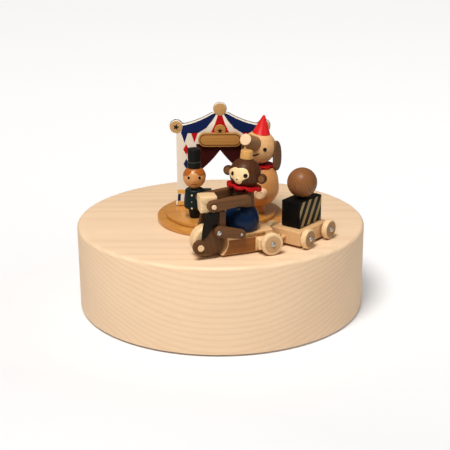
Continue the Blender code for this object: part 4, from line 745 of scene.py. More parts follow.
curtain_red = paint(
    "curtain_maroon", (0.042, 0.0035, 0.0035), roughness=0.5, coat=0.0, mottle=0.4, gloss=0.1
)
star_black = paint("star_black", (0.006, 0.005, 0.005), roughness=0.4, coat=0.0)
back_black = paint("back_black", (0.02, 0.02, 0.035), roughness=0.5, coat=0.0)
plaque_wood = wood(
    "plaque_wood", (0.48, 0.235, 0.062), (0.28, 0.115, 0.025), centre=(0, 0, 0.08),
    ring=0.0016, rings=0.25, fibre=0.00035, fibres=0.4, patches=0.2, roughness=0.42, coat=0.1,
    gloss=0.25,
)
plaque_line = paint("plaque_line", (0.05, 0.014, 0.005), roughness=0.5, coat=0.0)


def on_board(y):
    return Matrix.Translation((0, y, TENT_FOOT)) @ UPRIGHT


FILM = 0.00007


def painted(outlines):
    """A coat of paint cut to outlines."""
    return slab(outlines, 2 * FILM)


def film(name, mesh, finish, layer=1):
    """A thin layer set in the board's face."""
    return put(name, mesh, finish, "case", on_board(FACE_Y - FILM * layer * 0.5))


def both_sides(points):
    """The outline and its mirror image, each run the same way round."""
    return [points, [(-x, y) for x, y in reversed(points)]]


put(
    "tent_board", slab([board_outline], BOARD, edge=0.00018), tent_white, "case",
    on_board(FACE_Y + BOARD / 2), ["tent_front"],
)
BAND_FOOT = 0.0405
navy_inner = [(0.0021, 0.0506), (0.0042, 0.0472), (0.0075, 0.0432), (0.0119, BAND_FOOT)]
navy_band = [
    *[(x, z - 0.00035) for x, z in roof[1:-1]],
    (0.0024, 0.0513),
    *navy_inner,
    (0.0211, BAND_FOOT),
    (0.0205, 0.0416),
    *arc(SIDE_DISC, DISC, 215, 165, 6),
]
film("roof_navy", painted(both_sides(navy_band)), navy)
red_half = [
    (0, 0.0402), (0.0047, 0.0402), (0.0047, 0.0411), (0.0029, 0.0449), (0.0018, 0.0480),
    (0.0010, 0.0507), (0, 0.0507),
]
film("roof_red", painted([mirrored(red_half)]), scarlet)
pennant = [(-0.0018, 0.0002), (0.0018, 0.0002), (0.0, -0.0053)]


def marks_on_board(name, outline, finish, first, count=1, step=(0, 0)):
    """A painted mark, once or more in even steps."""
    mark = shifted(painted([outline]), Matrix.Translation((*first, 0)))
    film(name, repeated(mark, count, step=(*step, 0), finish=finish), finish)


NAVY_PENNANT = 0.0191
RED_PENNANT = 0.0138
LOZENGE_LINE = 0.0183
LOZENGE_STEP = 0.0168
PILLAR_LINE = (HALF_WIDTH + INNER) / 2
STRIPE_STEP = 0.0066
BAR_START = 0.0225
BAR_STEP = 0.0041
CURTAIN_GAP = 0.00012
CURTAIN_RAIL = 0.0345
lozenge = [(0, -0.00295), (0.00156, 0), (0, 0.00295), (-0.00156, 0)]
stripe_half = (HALF_WIDTH - INNER) / 2 - 0.0001
stripe = rectangle(-stripe_half, stripe_half, -0.00105, 0.00105)
bar = [(-0.0009, -0.0019), (0.0006, -0.0019), (0.0009, 0.0019), (-0.0006, 0.0019)]
for side, sign in (("left", -1), ("right", 1)):
    marks_on_board(
        f"pennant_navy_{side}", pennant, navy, (sign * NAVY_PENNANT, BAND_FOOT)
    )
    marks_on_board(
        f"pennant_red_{side}", pennant, scarlet, (sign * RED_PENNANT, BAND_FOOT)
    )
    marks_on_board(
        f"lozenges_red_{side}", lozenge, scarlet, (sign * LOZENGE_LINE, 0.0147),
        count=2, step=(0, LOZENGE_STEP),
    )
    marks_on_board(
        f"lozenge_navy_{side}", lozenge, navy, (sign * LOZENGE_LINE, 0.0234)
    )
    marks_on_board(
        f"plinth_stripes_{side}", stripe, amber, (sign * PILLAR_LINE, 0.0013),
        count=2, step=(0, STRIPE_STEP),
    )
    marks_on_board(
        f"plinth_bars_{side}", bar, navy, (sign * BAR_START, 0.0046),
        count=3, step=(-sign * BAR_STEP, 0),
    )
    curtain_outline = [
        (0, CURTAIN_RAIL),
        (INNER - CURTAIN_GAP, CURTAIN_RAIL),
        (INNER - CURTAIN_GAP, 0.0193),
        *[(x, z + CURTAIN_GAP) for x, z in reversed(arch[:-1])],
    ]
    if sign < 0:
        curtain_outline = [(-x, z) for x, z in reversed(curtain_outline)]
    film(f"curtain_{side}", painted([curtain_outline]), curtain_red)


def fold_line(top, hem, sag):
    """A raised fold from the curtain's rail down to its hem."""
    curve = bpy.data.curves.new("fold", "CURVE")
    curve.dimensions = "3D"
    curve.bevel_depth = 0.00022
    curve.bevel_resolution = 3
    curve.use_fill_caps = True
    spline = curve.splines.new("POLY")
    points = bow(top, hem, sag, steps=12)
    spline.points.add(len(points) - 1)
    for index, (point, (x, z)) in enumerate(zip(spline.points, points)):
        point.co = (x, z, 0, 1)
        point.radius = 0.35 + 0.65 * index / 12
    mesh = evaluated(draft(curve))
    mesh.shade_smooth()
    return mesh


for side, sign in (("left", -1), ("right", 1)):
    for number in range(5):
        t = 0.1 + 0.2 * number
        top = (sign * INNER * (1 - 0.92 * t), 0.0338)
        hem = (sign * (INNER - 0.0001 - 0.0045 * t), 0.0194 + 0.0024 * t)
        film(
            f"curtain_fold_{side}_{number + 1}", fold_line(top, hem, 0.0012 * t),
            curtain_red,
        )


# Corner discs and sign: thin tan veneer on the board's three corners, and a plaque
# with an inset dark line. Its face is bare. Small black stars mark the discs.
def star(radius, inner_share=0.42, turn=90):
    points = []
    for index in range(10):
        reach = radius if index % 2 == 0 else radius * inner_share
        angle = math.radians(turn + 36 * index)
        points.append((reach * math.cos(angle), reach * math.sin(angle)))
    return points


def moved(points, centre):
    return [(x + centre[0], y + centre[1]) for x, y in points]


# Tan veneer for the tent's discs; the scooter's groove floors take it too, as painted shade.
disc_veneer_and_groove_shade = wood(
    "disc_veneer_and_groove_shade", (0.52, 0.31, 0.12), (0.33, 0.17, 0.055), centre=(0, 0, 0.07),
    ring=0.0018, rings=0.2, fibre=0.0003, fibres=0.35, patches=0.2, roughness=0.42, coat=0.25,
)
DISC_STAR = 0.0019
for name, centre in (
    ("disc_left", (-SIDE_DISC[0], SIDE_DISC[1])),
    ("disc_right", SIDE_DISC),
    ("disc_peak", PEAK_DISC),
):
    rim = arc(centre, DISC - 0.0001, 0, 360, 48)[:-1]
    film(name, slab([rim], 3 * FILM, FILM / 2), disc_veneer_and_groove_shade)
    if centre[0]:
        tilt = 90 + math.copysign(14, centre[0])
        mark = painted([moved(star(DISC_STAR, turn=tilt), centre)])
        film(f"star_{name}", mark, star_black, layer=4)

SIGN_HALF = 0.01175
SIGN_FOOT = 0.0332
SIGN_HEAD = 0.0409
SIGN_DISC = (0.0, 0.0423)
SIGN_DISC_RADIUS = 0.003
SIGN_BOARD = 0.0015
SIGN_STAR = 0.0016
SIGN_INK = 0.0001
LINE_INSETS = (0.00078, 0.00116)
sign_rise = (SIGN_HEAD - SIGN_FOOT) / 2
sign_middle = (SIGN_HEAD + SIGN_FOOT) / 2


def stadium(inset):
    """The plaque's long rounded outline, drawn in from its rim."""
    centre = (SIGN_HALF - sign_rise, sign_middle)
    rise = sign_rise - inset
    end = arc(centre, rise, -90, 90, 24)
    return mirrored([(0, sign_middle - rise), *end, (0, sign_middle + rise)])


join = math.degrees(math.asin((SIGN_HEAD - SIGN_DISC[1]) / SIGN_DISC_RADIUS))
sign_outline = mirrored(
    [
        (0, SIGN_FOOT),
        *arc((SIGN_HALF - sign_rise, sign_middle), sign_rise, -90, 90, 24),
        *arc(SIGN_DISC, SIGN_DISC_RADIUS, join, 90, 16),
    ]
)
SIGN_Y = FACE_Y - SEAT - SIGN_BOARD
put(
    "sign_plaque", slab([sign_outline], SIGN_BOARD, edge=0.00025), plaque_wood, "case",
    on_board(SIGN_Y + SIGN_BOARD / 2), ["tent_sign"],
)
sign_line = slab([stadium(inset) for inset in LINE_INSETS], SIGN_INK)
put("sign_line", sign_line, plaque_line, "case", on_board(SIGN_Y))
sign_star = slab([moved(star(SIGN_STAR), (0, SIGN_DISC[1] - 0.0003))], SIGN_INK)
put("sign_star", sign_star, star_black, "case", on_board(SIGN_Y))
BACK_BOARD = 0.0003
BACK_REACH = 0.00022
back_outline = mirrored(
    [
        (0, BAND_FOOT),
        (0.0205, BAND_FOOT),
        (0.0205, 0.0416),
        *arc(SIDE_DISC, DISC + BACK_REACH, 215, 520, 40)[:-1],
        *[(x, z + BACK_REACH) for x, z in roof[1:-1]],
        *arc((0, PEAK_DISC[1] - BACK_REACH), DISC + BACK_REACH, -30, 90, 20),
    ]
)
put(
    "roof_back", slab([back_outline], BACK_BOARD), back_black, "case",
    on_board(FACE_Y + BOARD + BACK_BOARD / 2),
)


# Ringmaster: maple turned on one axis, painted with a dark coat, black legs and a hat.
# The hair is a glossy cap with a parting, and eyes and buttons are dots of enamel.
def ball(radius, steps=48):
    side = arc((0, 0), radius, 90, -90, steps // 2)[1:-1]
    return turned([(0, radius), *side, (0, -radius)], steps)


def flat_ball(radius, seat, crown, steps=64):
    """A ball cut flat at the heights seat and crown."""
    low = math.degrees(math.asin(max(-1, seat / radius)))
    high = math.degrees(math.asin(min(1, crown / radius)))
    side = arc((0, 0), radius, high, low, 32)
    return turned([(0, side[0][1]), *side, (0, side[-1][1])], steps)


def direction(facing, azimuth, elevation):
    """The way out of a head at angles from where its face looks, all in degrees."""
    a = math.radians(facing + azimuth)
    e = math.radians(elevation)
    return Vector((math.cos(a) * math.cos(e), math.sin(a) * math.cos(e), math.sin(e)))


def turned_to(out):
    """The turn that takes Z to a direction."""
    return out.to_track_quat("Z", "Y").to_matrix().to_4x4()


def on_head(centre, radius, facing, azimuth, elevation):
    """A place on a head whose Z points outward."""
    out = direction(facing, azimuth, elevation)
    return Matrix.Translation(Vector(centre) + out * radius) @ turned_to(out)


def dot(radius, height=0.45):
    """A low dome of enamel, made about the point that it sits on."""
    return shifted(ball(radius, steps=24), Matrix.Scale(height, 4, (0, 0, 1)))


def patch(radius, facing, outline, lift=0.00012, rows=8):
    """A thin shaped layer on a ball, from its outline's angles in degrees."""
    middle = [sum(p[i] for p in outline) / len(outline) for i in (0, 1)]
    shape = bmesh.new()
    skins = []
    for level in (radius + lift, radius - lift):
        rings = [[shape.verts.new(direction(facing, *middle) * level)]]
        for row in range(1, rows + 1):
            share = row / rows
            rings.append(
                [
                    shape.verts.new(
                        direction(
                            facing,
                            middle[0] + (a - middle[0]) * share,
                            middle[1] + (e - middle[1]) * share,
                        )
                        * (level - (lift * 0.5 if row == rows and level > radius else 0))
                    )
                    for a, e in outline
                ]
            )
        skins.append(rings)
        for inner, outer in zip(rings, rings[1:]):
            for k in range(len(outline)):
                corners = (
                    inner[k % len(inner)], outer[k], outer[(k + 1) % len(outline)],
                    inner[(k + 1) % len(inner)],
                )
                shape.faces.new(list(dict.fromkeys(corners)))
    upper, lower = skins[0][-1], skins[1][-1]
    for k in range(len(outline)):
        n = (k + 1) % len(outline)
        shape.faces.new((upper[k], lower[k], lower[n], upper[n]))
    bmesh.ops.recalc_face_normals(shape, faces=shape.faces)
    return smooth(shape)


def rounded_outline(points, steps=8):
    """A closed smooth outline through points."""
    outline = []
    count = len(points)
    for i in range(count):
        a, b, c, d = (Vector(points[(i + k) % count]) for k in (-1, 0, 1, 2))
        for k in range(steps):
            t = k / steps
            p = 0.5 * (2 * b + (c - a) * t + (2 * a - 5 * b + 4 * c - d) * t * t
                       + (3 * b - a - 3 * c + d) * t ** 3)
            outline.append((p[0], p[1]))
    return outline


RINGMASTER_PLACE = (-0.0135, -0.0150)
COAT_HEM = 0.0052
RING_HEAD = 0.00593
RING_HEAD_LEVEL = 0.0221
coat_teal = paint(
    "coat_teal", (0.005, 0.014, 0.016), roughness=0.42, coat=0.04, mottle=0.3, gloss=0.1
)
leg_black = paint(
    "leg_black", (0.004, 0.004, 0.003), roughness=0.36, coat=0.1, mottle=0.16, gloss=0.12
)
hat_black = paint(
    "hat_black", (0.005, 0.005, 0.005), roughness=0.45, coat=0.05, mottle=0.16, gloss=0.12
)
button_cream = paint("button_cream", (0.56, 0.50, 0.32), roughness=0.35)
face_tan = wood(
    "face_tan", (0.64, 0.315, 0.115), (0.46, 0.19, 0.06), centre=(*RINGMASTER_PLACE, 0.07),
    turn=(0, math.pi / 2, 0), ring=0.0016, rings=0.12, fibre=0.00035, fibres=0.3,
    patches=0.3, roughness=0.4, coat=0.15, gloss=0.3,
)
hair_ginger = paint("hair_ginger", (0.40, 0.105, 0.011), roughness=0.28, coat=0.45, mottle=0.3)
moustache_brown = paint("moustache_brown", (0.33, 0.115, 0.022), roughness=0.4, coat=0.0)
# Dark brown for the monkey's mouth, and for the painted shade under the elephant's trunk.
mouth_and_shade_brown = paint("mouth_and_shade_brown", (0.07, 0.025, 0.008), roughness=0.45, coat=0.0)
eye_black = paint(
    "eye_black", (0.006, 0.004, 0.003), roughness=0.22, coat=0.15, mottle=0.16, gloss=0.15
)
band_satin = paint("hat_band", (0.07, 0.07, 0.05), roughness=0.3)
ringmaster = Matrix.Translation((*RINGMASTER_PLACE, STAGE_TOP))
legs_profile = [
    (0, COAT_HEM), (0.0033, COAT_HEM), (0.00325, 0.0040), (0.0030, 0.0018), (0.0029, 0.0008),
    (0.0027, SEAT), (0, SEAT),
]
put(
    "ringmaster_legs", turned(legs_profile, steps=48), leg_black, "case",
    ringmaster,
)
coat_profile = [
    (0, 0.0160),
    *arc((0.0036, 0.0146), 0.0014, 90, 20, 8),
    (0.0052, 0.0130),
    (0.0055, 0.0105),
    (0.0057, 0.0082),
    *arc((0.0045, 0.0066), 0.00115, 10, -80, 6),
    (0.0034, COAT_HEM),
    (0, COAT_HEM),
]
put(
    "ringmaster_coat", turned(coat_profile, steps=64), coat_teal, "case",
    ringmaster, ["ringmaster_body"],
)
SLEEVE_HALF = 0.0045
sleeve_profile = [
    (0, SLEEVE_HALF), *arc((0.0008, SLEEVE_HALF - 0.0005), 0.0005, 90, 0, 4),
    (0.0013, -SLEEVE_HALF), (0, -SLEEVE_HALF),
]
sleeve_place = Matrix.Translation((0.0044, 0, 0.0146)) @ Matrix.Rotation(math.pi / 2, 4, "Y")
put(
    "ringmaster_sleeve", turned(sleeve_profile, steps=24), coat_teal, "case",
    ringmaster @ sleeve_place,
)


def coat_button(name, azimuth, height, radius, size, count=1, step=0.0, slope=0.0):
    """Buttons down the coat from one height, further out by slope at each step."""
    out = direction(-90, azimuth, 0)
    seat = Matrix.Translation(out * radius + Vector((0, 0, height)))
    button = shifted(dot(size), seat @ turned_to(out))
    row = repeated(button, count, step=(*(out * slope).xy, -step), finish=button_cream)
    row.shade_smooth()
    put(name, row, button_cream, "case", ringmaster)


coat_button(
    "coat_buttons_left", azimuth=-15, height=0.0134, radius=0.0051, size=0.00056, count=3,
    step=0.0035, slope=0.00022,
)
coat_button("coat_button_right", azimuth=29, height=0.0138, radius=0.0050, size=0.00053)
coat_button("collar_pin", azimuth=-7, height=0.0151, radius=0.0045, size=0.00032)
head_centre = ringmaster @ Vector((0, 0, RING_HEAD_LEVEL))
put(
    "ringmaster_face", flat_ball(RING_HEAD, seat=-0.0058, crown=0.0046), face_tan, "case",
    Matrix.Translation(head_centre), ["ringmaster_head"],
)


HAIR_CROWN = 68


def hair_edge(azimuth):
    """How high the hair starts, in degrees, going round from the face to the back."""
    stops = ((-180, -28), (-125, -22), (-104, -8), (-88, 10), (-76, 15), (-60, 13), (-36, 20),
             (-22, 33), (-12, 50), (-9, 56), (-5, 47), (9, 35), (29, 21), (46, 17.5), (58, 18),
             (74, 19), (88, 11), (104, -8), (125, -22), (180, -28))
    for (a0, e0), (a1, e1) in zip(stops, stops[1:]):
        if azimuth <= a1:
            t = (azimuth - a0) / (a1 - a0)
            t = t * t * (3 - 2 * t)
            return e0 + (e1 - e0) * t
    return stops[-1][1]


def hair_cap(root=0.00015, full=0.00024, rounding=8, turns=144):
    """The hair as a cap: rooted in the head, rounded over its edge, even up to the hat."""
    azimuths = [-180 + 360 * k / turns for k in range(turns)]
    rows = []
    for lift, above in ((-root, 0), (0.00012, 0), (0.00022, 2.5), (full, rounding)):
        rows.append(
            [direction(-90, a, hair_edge(a) + above) * (RING_HEAD + lift) for a in azimuths]
        )
    for share in (0.2, 0.4, 0.6, 0.8, 1.0):
        row = []
        for a in azimuths:
            low = hair_edge(a) + rounding
            row.append(direction(-90, a, low + (HAIR_CROWN - low) * share) * (RING_HEAD + full))
        rows.append(row)
    rows.append([p.normalized() * (RING_HEAD - root) for p in rows[-1]])
    shape = bmesh.new()
    made = [[shape.verts.new(p) for p in row] for row in rows]
    for lower, upper in zip(made, made[1:] + made[:1]):
        for k in range(turns):
            n = (k + 1) % turns
            shape.faces.new((lower[k], lower[n], upper[n], upper[k]))
    bmesh.ops.recalc_face_normals(shape, faces=shape.faces)
    return smooth(shape, sharp=60)


put(
    "ringmaster_hair", hair_cap(), hair_ginger, "case",
    Matrix.Translation(head_centre),
)
for side, azimuth in (("left", -29), ("right", 29)):
    place = on_head(head_centre, RING_HEAD, -90, azimuth, 9)
    put(f"ringmaster_eye_{side}", dot(0.00076), eye_black, "case", place)
put(
    "ringmaster_nose", ball(0.00042, steps=20), face_tan, "case",
    on_head(head_centre, RING_HEAD, -90, -1, -6),
)
moustache = [
    (-25, -32), (-12, -23.5), (-1, -21.5), (10, -23.5), (23, -32), (10, -28.5), (-1, -26.5),
    (-12, -28.5),
]
put(
    "ringmaster_moustache", patch(RING_HEAD, -90, rounded_outline(moustache, steps=5)),
    moustache_brown, "case", Matrix.Translation(head_centre),
)
hat_profile = [
    (0, 0.0374),
    *arc((0.0031, 0.0370), 0.0004, 90, 10, 4),
    (0.0033, 0.0305),
    (0.0034, 0.0302),
    *arc((0.0034, 0.0300), 0.0002, 80, 0, 3),
    (0.0036, 0.0272),
    (0.0034, 0.0270),
    (0, 0.0270),
]
put(
    "top_hat", turned(hat_profile, steps=64), hat_black, "case", ringmaster,
    ["ringmaster_hat"],
)
hat_band = [(0.00338, 0.0306), (0.00340, 0.0303), (0.00325, 0.0303), (0.00325, 0.0306)]
put(
    "top_hat_band", turned(hat_band, steps=64, ring=True), band_satin, "case",
    ringmaster,
)


# Elephant: a turned body on a short post, with dowel forelegs, a ball head, a dowel
# trunk, walnut ears, and a red ruff and cone hat. Its wood is flecked with short pores.
def egg(radius, rise, drop, top, bottom, steps=40):
    """An egg's profile, flat at top and bottom, about its widest level at height 0."""
    start = math.asin(min(1, top / rise))
    end = math.asin(max(-1, bottom / drop))
    points = []
    for index in range(steps + 1):
        angle = start + (end - start) * index / steps
        height = (rise if angle > 0 else drop) * math.sin(angle)
        points.append((radius * math.cos(angle), height))
    return [(0, points[0][1]), *points, (0, points[-1][1])]


def lifted(profile, height):
    return [(radius, level + height) for radius, level in profile]


def dowel(radius, start, end, edge=0.0003, steps=40, end_radius=None):
    """A rod along Z from start up to end, with rounded rims."""
    far = end_radius or radius
    return turned(
        [(0, end), *arc((far - edge, end - edge), edge, 90, 0, 4),
         *arc((radius - edge, start + edge), edge, 0, -90, 4), (0, start)],
        steps,
    )


def moved_to(frame_of, x, y, z):
    return frame_of @ Matrix.Translation((x, y, z))


ELEPHANT_PLACE = (0.0208, -0.0069)
ELEPHANT_TURN = -22
flecked = wood(
    "flecked_beech", (0.76, 0.46, 0.22), (0.40, 0.18, 0.065), centre=(*ELEPHANT_PLACE, 0.07),
    turn=(0, math.pi / 2, 0), ring=0.0021, rings=0.16, fibre=0.00035, fibres=0.4,
    patches=0.3, flecks=0.5, roughness=0.45, coat=0.05, gloss=0.25,
)
# Painted shade and painted warm light off the stage: the belly is the head's wood, made darker and
# more orange.
shaded_belly_beech = wood(
    "shaded_belly_beech", (0.68, 0.32, 0.105), (0.40, 0.155, 0.042), centre=(*ELEPHANT_PLACE, 0.06),
    turn=(0, math.pi / 2, 0), ring=0.0023, rings=0.2, fibre=0.00035, fibres=0.35,
    patches=0.25, flecks=0.2, roughness=0.45, coat=0.1, gloss=0.25,
)
end_wood = wood(
    "pale_end_wood", (0.82, 0.60, 0.40), (0.60, 0.39, 0.22), centre=(0.02, -0.02, 0.07),
    ring=0.0012, rings=0.2, fibre=0.0003, fibres=0.25, patches=0.2, roughness=0.5,
)
# Painted shade: the trunk is the head's pale wood, darkened for the shade on its underside.
shaded_trunk_beech = wood(
    "shaded_trunk_beech", (0.33, 0.185, 0.092), (0.18, 0.088, 0.038), centre=(*ELEPHANT_PLACE, 0.09),
    turn=(0, 0.4, 1.2), ring=0.0021, rings=0.16, fibre=0.00035, fibres=0.4, patches=0.3,
    flecks=0.3, roughness=0.5, gloss=0.15,
)
dark_walnut = wood(
    "dark_walnut", (0.185, 0.090, 0.043), (0.062, 0.026, 0.012), centre=(0, 0, 0.03),
    turn=(0, 0.15, -0.4), ring=0.0022, rings=0.2, fibre=0.0004, fibres=0.5, patches=0.3,
    flecks=0.2, roughness=0.5, coat=0.0, gloss=0.15,
)
hat_red = paint("hat_red", (0.66, 0.010, 0.014), roughness=0.36, coat=0.2, mottle=0.2)
elephant = Matrix.Translation((*ELEPHANT_PLACE, STAGE_TOP)) @ Matrix.Rotation(
    math.radians(ELEPHANT_TURN), 4, "Z"
)
POST = 0.0030
BELLY = 0.0104
BELLY_LEVEL = 0.0137
BELLY_RISE = 0.0180
BELLY_DROP = 0.0098
post_top = BELLY_LEVEL - BELLY_DROP * math.sqrt(1 - (POST / BELLY) ** 2)
belly = egg(BELLY, BELLY_RISE, BELLY_DROP, top=0.0116, bottom=post_top - BELLY_LEVEL)
body_profile = [
    *lifted(belly[:-1], BELLY_LEVEL), (POST, 2 * SEAT), (POST - SEAT, SEAT), (0, SEAT),
]
put(
    "elephant_belly", turned(body_profile, steps=96), shaded_belly_beech, "case", elephant,
    ["elephant_body"],
)
FORELEG_REACH = 0.0128
FORELEG_LEVEL = 0.0136
FORELEG_LINE = 0.0045
END_INLAY = 0.0002
rim_profile = [
    (0.00175, 0.00012), (0.0021, 0.0002), (0.00225, 0.00012), (0.0021, -0.0001),
    (0.00175, -0.0001),
]
for side, sign in (("left", -1), ("right", 1)):
    place = moved_to(elephant, sign * FORELEG_LINE, 0, FORELEG_LEVEL) @ UPRIGHT
    put(
        f"foreleg_{side}", dowel(0.0028, 0.0, FORELEG_REACH - END_INLAY, edge=0.0004), end_wood,
        "case", place,
    )
    rim = turned(lifted(rim_profile, FORELEG_REACH - END_INLAY), steps=40, ring=True)
    put(f"foreleg_rim_{side}", rim, flecked, "case", place)
frill_red = paint(
    "frill_red", (0.38, 0.003, 0.006), roughness=0.4, coat=0.0, mottle=0.3, gloss=0.1
)


def collar(reach, lobes, thick, steps=24):
    """A scalloped felt collar about Z: full lobes with round lips, gathered between them."""
    neck_bore = 0.0034
    turns = lobes * steps
    loops = []
    for k in range(turns):
        angle = math.tau * k / turns
        lobe = abs(math.cos(lobes * angle / 2)) ** 0.7
        rim = reach * (0.87 + 0.13 * lobe)
        lip = thick * (0.30 + 0.20 * lobe)
        gather = 0.0007 * (1 - lobe)
        loop = [(neck_bore, 0.0008), (0.62 * reach, 0.0006 + 0.4 * gather)]
        loop += arc((rim - lip, gather - 0.0003), lip, 80, -90, 8)
        loop += [(0.62 * reach, 0.5 * gather - 0.0008), (neck_bore, -0.0006)]
        loops.append([(r * math.cos(angle), r * math.sin(angle), z) for r, z in loop])
    shape = bmesh.new()
    rows = [[shape.verts.new(point) for point in loop] for loop in loops]
    for here, onward in zip(rows, rows[1:] + rows[:1]):
        for k in range(len(here)):
            n = (k + 1) % len(here)
            shape.faces.new((here[k], here[n], onward[n], onward[k]))
    bmesh.ops.recalc_face_normals(shape, faces=shape.faces)
    return smooth(shape, sharp=60)


put(
    "elephant_frill", collar(reach=0.0081, lobes=10, thick=0.0017), frill_red, "case",
    moved_to(elephant, 0, 0, 0.0262), ["elephant_ruff"],
)
HEAD = 0.0089
neck = moved_to(elephant, -0.0003, 0, 0.0360)
elephant_head_centre = neck.translation
put(
    "elephant_ball", flat_ball(HEAD, seat=-0.0082, crown=HEAD * 0.9999, steps=96), flecked,
    "case", neck, ["elephant_head"],
)
ELEPHANT_FACING = -112
for side, azimuth, elevation in (("left", -49, 5.5), ("right", 40, 3.5)):
    place = on_head(elephant_head_centre, HEAD, ELEPHANT_FACING, azimuth, elevation)
    put(f"elephant_eye_{side}", dot(0.00105), eye_black, "case", place)
# Painted shade: a dark crescent on the face under the trunk's root, where the trunk shades the
# head.
TRUNK_ROOT_SHADE_MIDDLE = -2
TRUNK_ROOT_SHADE_HALF = 24
trunk_root_shade = []
for lip in (1, -1):
    for k in range(13):
        share = lip * (k / 6 - 1)
        level = -17.5 + 8.5 * share**2
        fullness = 1.2 + 2.2 * (1 - share**2)
        trunk_root_shade.append((TRUNK_ROOT_SHADE_MIDDLE + TRUNK_ROOT_SHADE_HALF * share, level + lip * fullness))
put(
    "elephant_smile", patch(HEAD, ELEPHANT_FACING, trunk_root_shade, lift=0.0001, rows=4), mouth_and_shade_brown,
    "case", Matrix.Translation(elephant_head_centre),
)
TRUNK_REACH = 0.0186
TRUNK_TIP = 0.0030
trunk_rise = math.radians(24.5)
trunk_way = Vector((-0.06, -math.cos(trunk_rise), math.sin(trunk_rise))).normalized()
trunk_place = neck @ turned_to(trunk_way)
put(
    "elephant_trunk_dowel",
    dowel(0.0045, 0.0055, TRUNK_REACH, edge=0.0003, steps=48, end_radius=TRUNK_TIP), shaded_trunk_beech,
    "case", trunk_place, ["elephant_trunk"],
)
put(
    "elephant_trunk_end",
    dowel(TRUNK_TIP, TRUNK_REACH - 0.0001, TRUNK_REACH + 0.0004, edge=0.0002, steps=48), end_wood,
    "case", trunk_place,
)


ACROSS = Matrix.Rotation(math.pi / 2, 4, "Z") @ UPRIGHT
EAR_FLARE = 1
EAR_TURN = 14
ear_leaf = [
    (-0.0028, -0.0005), (-0.0030, -0.0060), (-0.0027, -0.0098), (-0.0008, -0.0114),
    (0.0013, -0.0108), (0.0031, -0.0080), (0.0036, -0.0035), (0.0030, 0.0006),
    (0.0014, 0.0036), (-0.0006, 0.0046), (-0.0023, 0.0032),
]
for name, side in (("elephant_ear_near", 1), ("elephant_ear_far", -1)):
    flared = neck @ Matrix.Rotation(-side * math.radians(EAR_FLARE), 4, "Y")
    place = (
        moved_to(flared, side * (HEAD + 0.0004), 0.0016, -0.0009)
        @ Matrix.Rotation(-side * math.radians(EAR_TURN), 4, "Z")
        @ ACROSS
    )
    ear = slab([rounded_outline(ear_leaf, steps=5)], 0.0018, edge=0.00055, rounds=3)
    put(name.replace("ear", "ear_flap"), ear, dark_walnut, "case", place, [name])
hat_place = neck @ Matrix.Rotation(math.radians(9), 4, "Y")
cone_hat = turned(
    [(0, 0.0175), *arc((0, 0.0167), 0.0008, 90, 20, 6)[1:], (0.0046, 0.0080),
     *arc((0.0044, 0.0078), 0.0003, 20, -90, 4), (0, 0.0075)],
    steps=64,
)
put("party_hat", cone_hat, hat_red, "case", hat_place, ["elephant_hat"])


# Scooter: a block body hollowed round the front wheel's fender, with side grooves, axle
# cowls and a towing tongue, walnut fork plates, and a headlight that the handlebar crosses.
def capsule(start, end, start_radius, end_radius, steps=20):
    """The outline round two circles and the straight sides between them."""
    heading = math.degrees(math.atan2(end[1] - start[1], end[0] - start[0]))
    lean = math.degrees(math.asin((start_radius - end_radius) / math.dist(start, end)))
    side = 90 - lean
    return [
        *arc(start, start_radius, heading + side, heading + 360 - side, steps),
        *arc(end, end_radius, heading - side, heading + side, steps),
    ]


def walnut(name, pale, dark, turn):
    return wood(
        name, pale, dark, centre=(0.01, -0.05, 0.03), turn=turn, ring=0.002, rings=0.2,
        fibre=0.00035, fibres=0.45, patches=0.3, flecks=0.15, roughness=0.45, coat=0.03,
        gloss=0.15,
    )


def framed(x, y, heading):
    turn = Matrix.Rotation(math.radians(heading), 4, "Z")
    return Matrix.Translation((x, y, DECK)) @ turn


def carved(mesh, *tools):
    """The mesh less each tool."""
    host = draft(mesh)
    cutters = [draft(tool) for tool in tools]
    for cutter in cutters:
        cut = host.modifiers.new("Cut", "BOOLEAN")
        cut.operation = "DIFFERENCE"
        cut.solver = "EXACT"
        cut.object = cutter
    made = evaluated(host)
    for cutter in cutters:
        bpy.data.objects.remove(cutter)
    made.shade_smooth()
    made.set_sharp_from_angle(angle=math.radians(32))
    return made


ALONG_Y = Matrix.Rotation(-math.pi / 2, 4, "X")
SCOOTER_HEADING = 202.2
TRAILER_HEADING = 232
scooter = framed(0.019648, -0.048145, SCOOTER_HEADING)
trailer = framed(0.042789, -0.033430, TRAILER_HEADING)
along_scooter = (0, 0, math.radians(SCOOTER_HEADING))
block_grain = dict(
    centre=(0.01, -0.05, 0.04), turn=along_scooter, ring=0.0026, rings=0.22, fibre=0.0004,
    fibres=0.3, patches=0.25, flecks=0.1, roughness=0.42,
)
turned_grain = dict(
    centre=(0.01, -0.05, 0.04), turn=along_scooter, ring=0.0016, rings=0.18, fibre=0.0003,
    patches=0.25,
)
scooter_beech = wood(
    "scooter_beech", (0.78, 0.50, 0.26), (0.50, 0.27, 0.12), **block_grain, coat=0.2
)
# Painted shade: the block is light beech all through; this darker wood on its sides stands for the
# shade on faces turned from the light.
body_side_shade_wood = wood(
    "body_side_shade_wood", (0.27, 0.100, 0.022), (0.14, 0.045, 0.008), **block_grain, coat=0.05,
    gloss=0.25,
)
# Painted shade: the trailer wheels' outer faces are the rims' light wood, darkened for faces
# turned from the light.
trailer_face_shade_wood = wood(
    "trailer_face_shade_wood", (0.40, 0.24, 0.125), (0.26, 0.145, 0.07), **turned_grain, fibres=0.3,
    roughness=0.5, gloss=0.2,
)
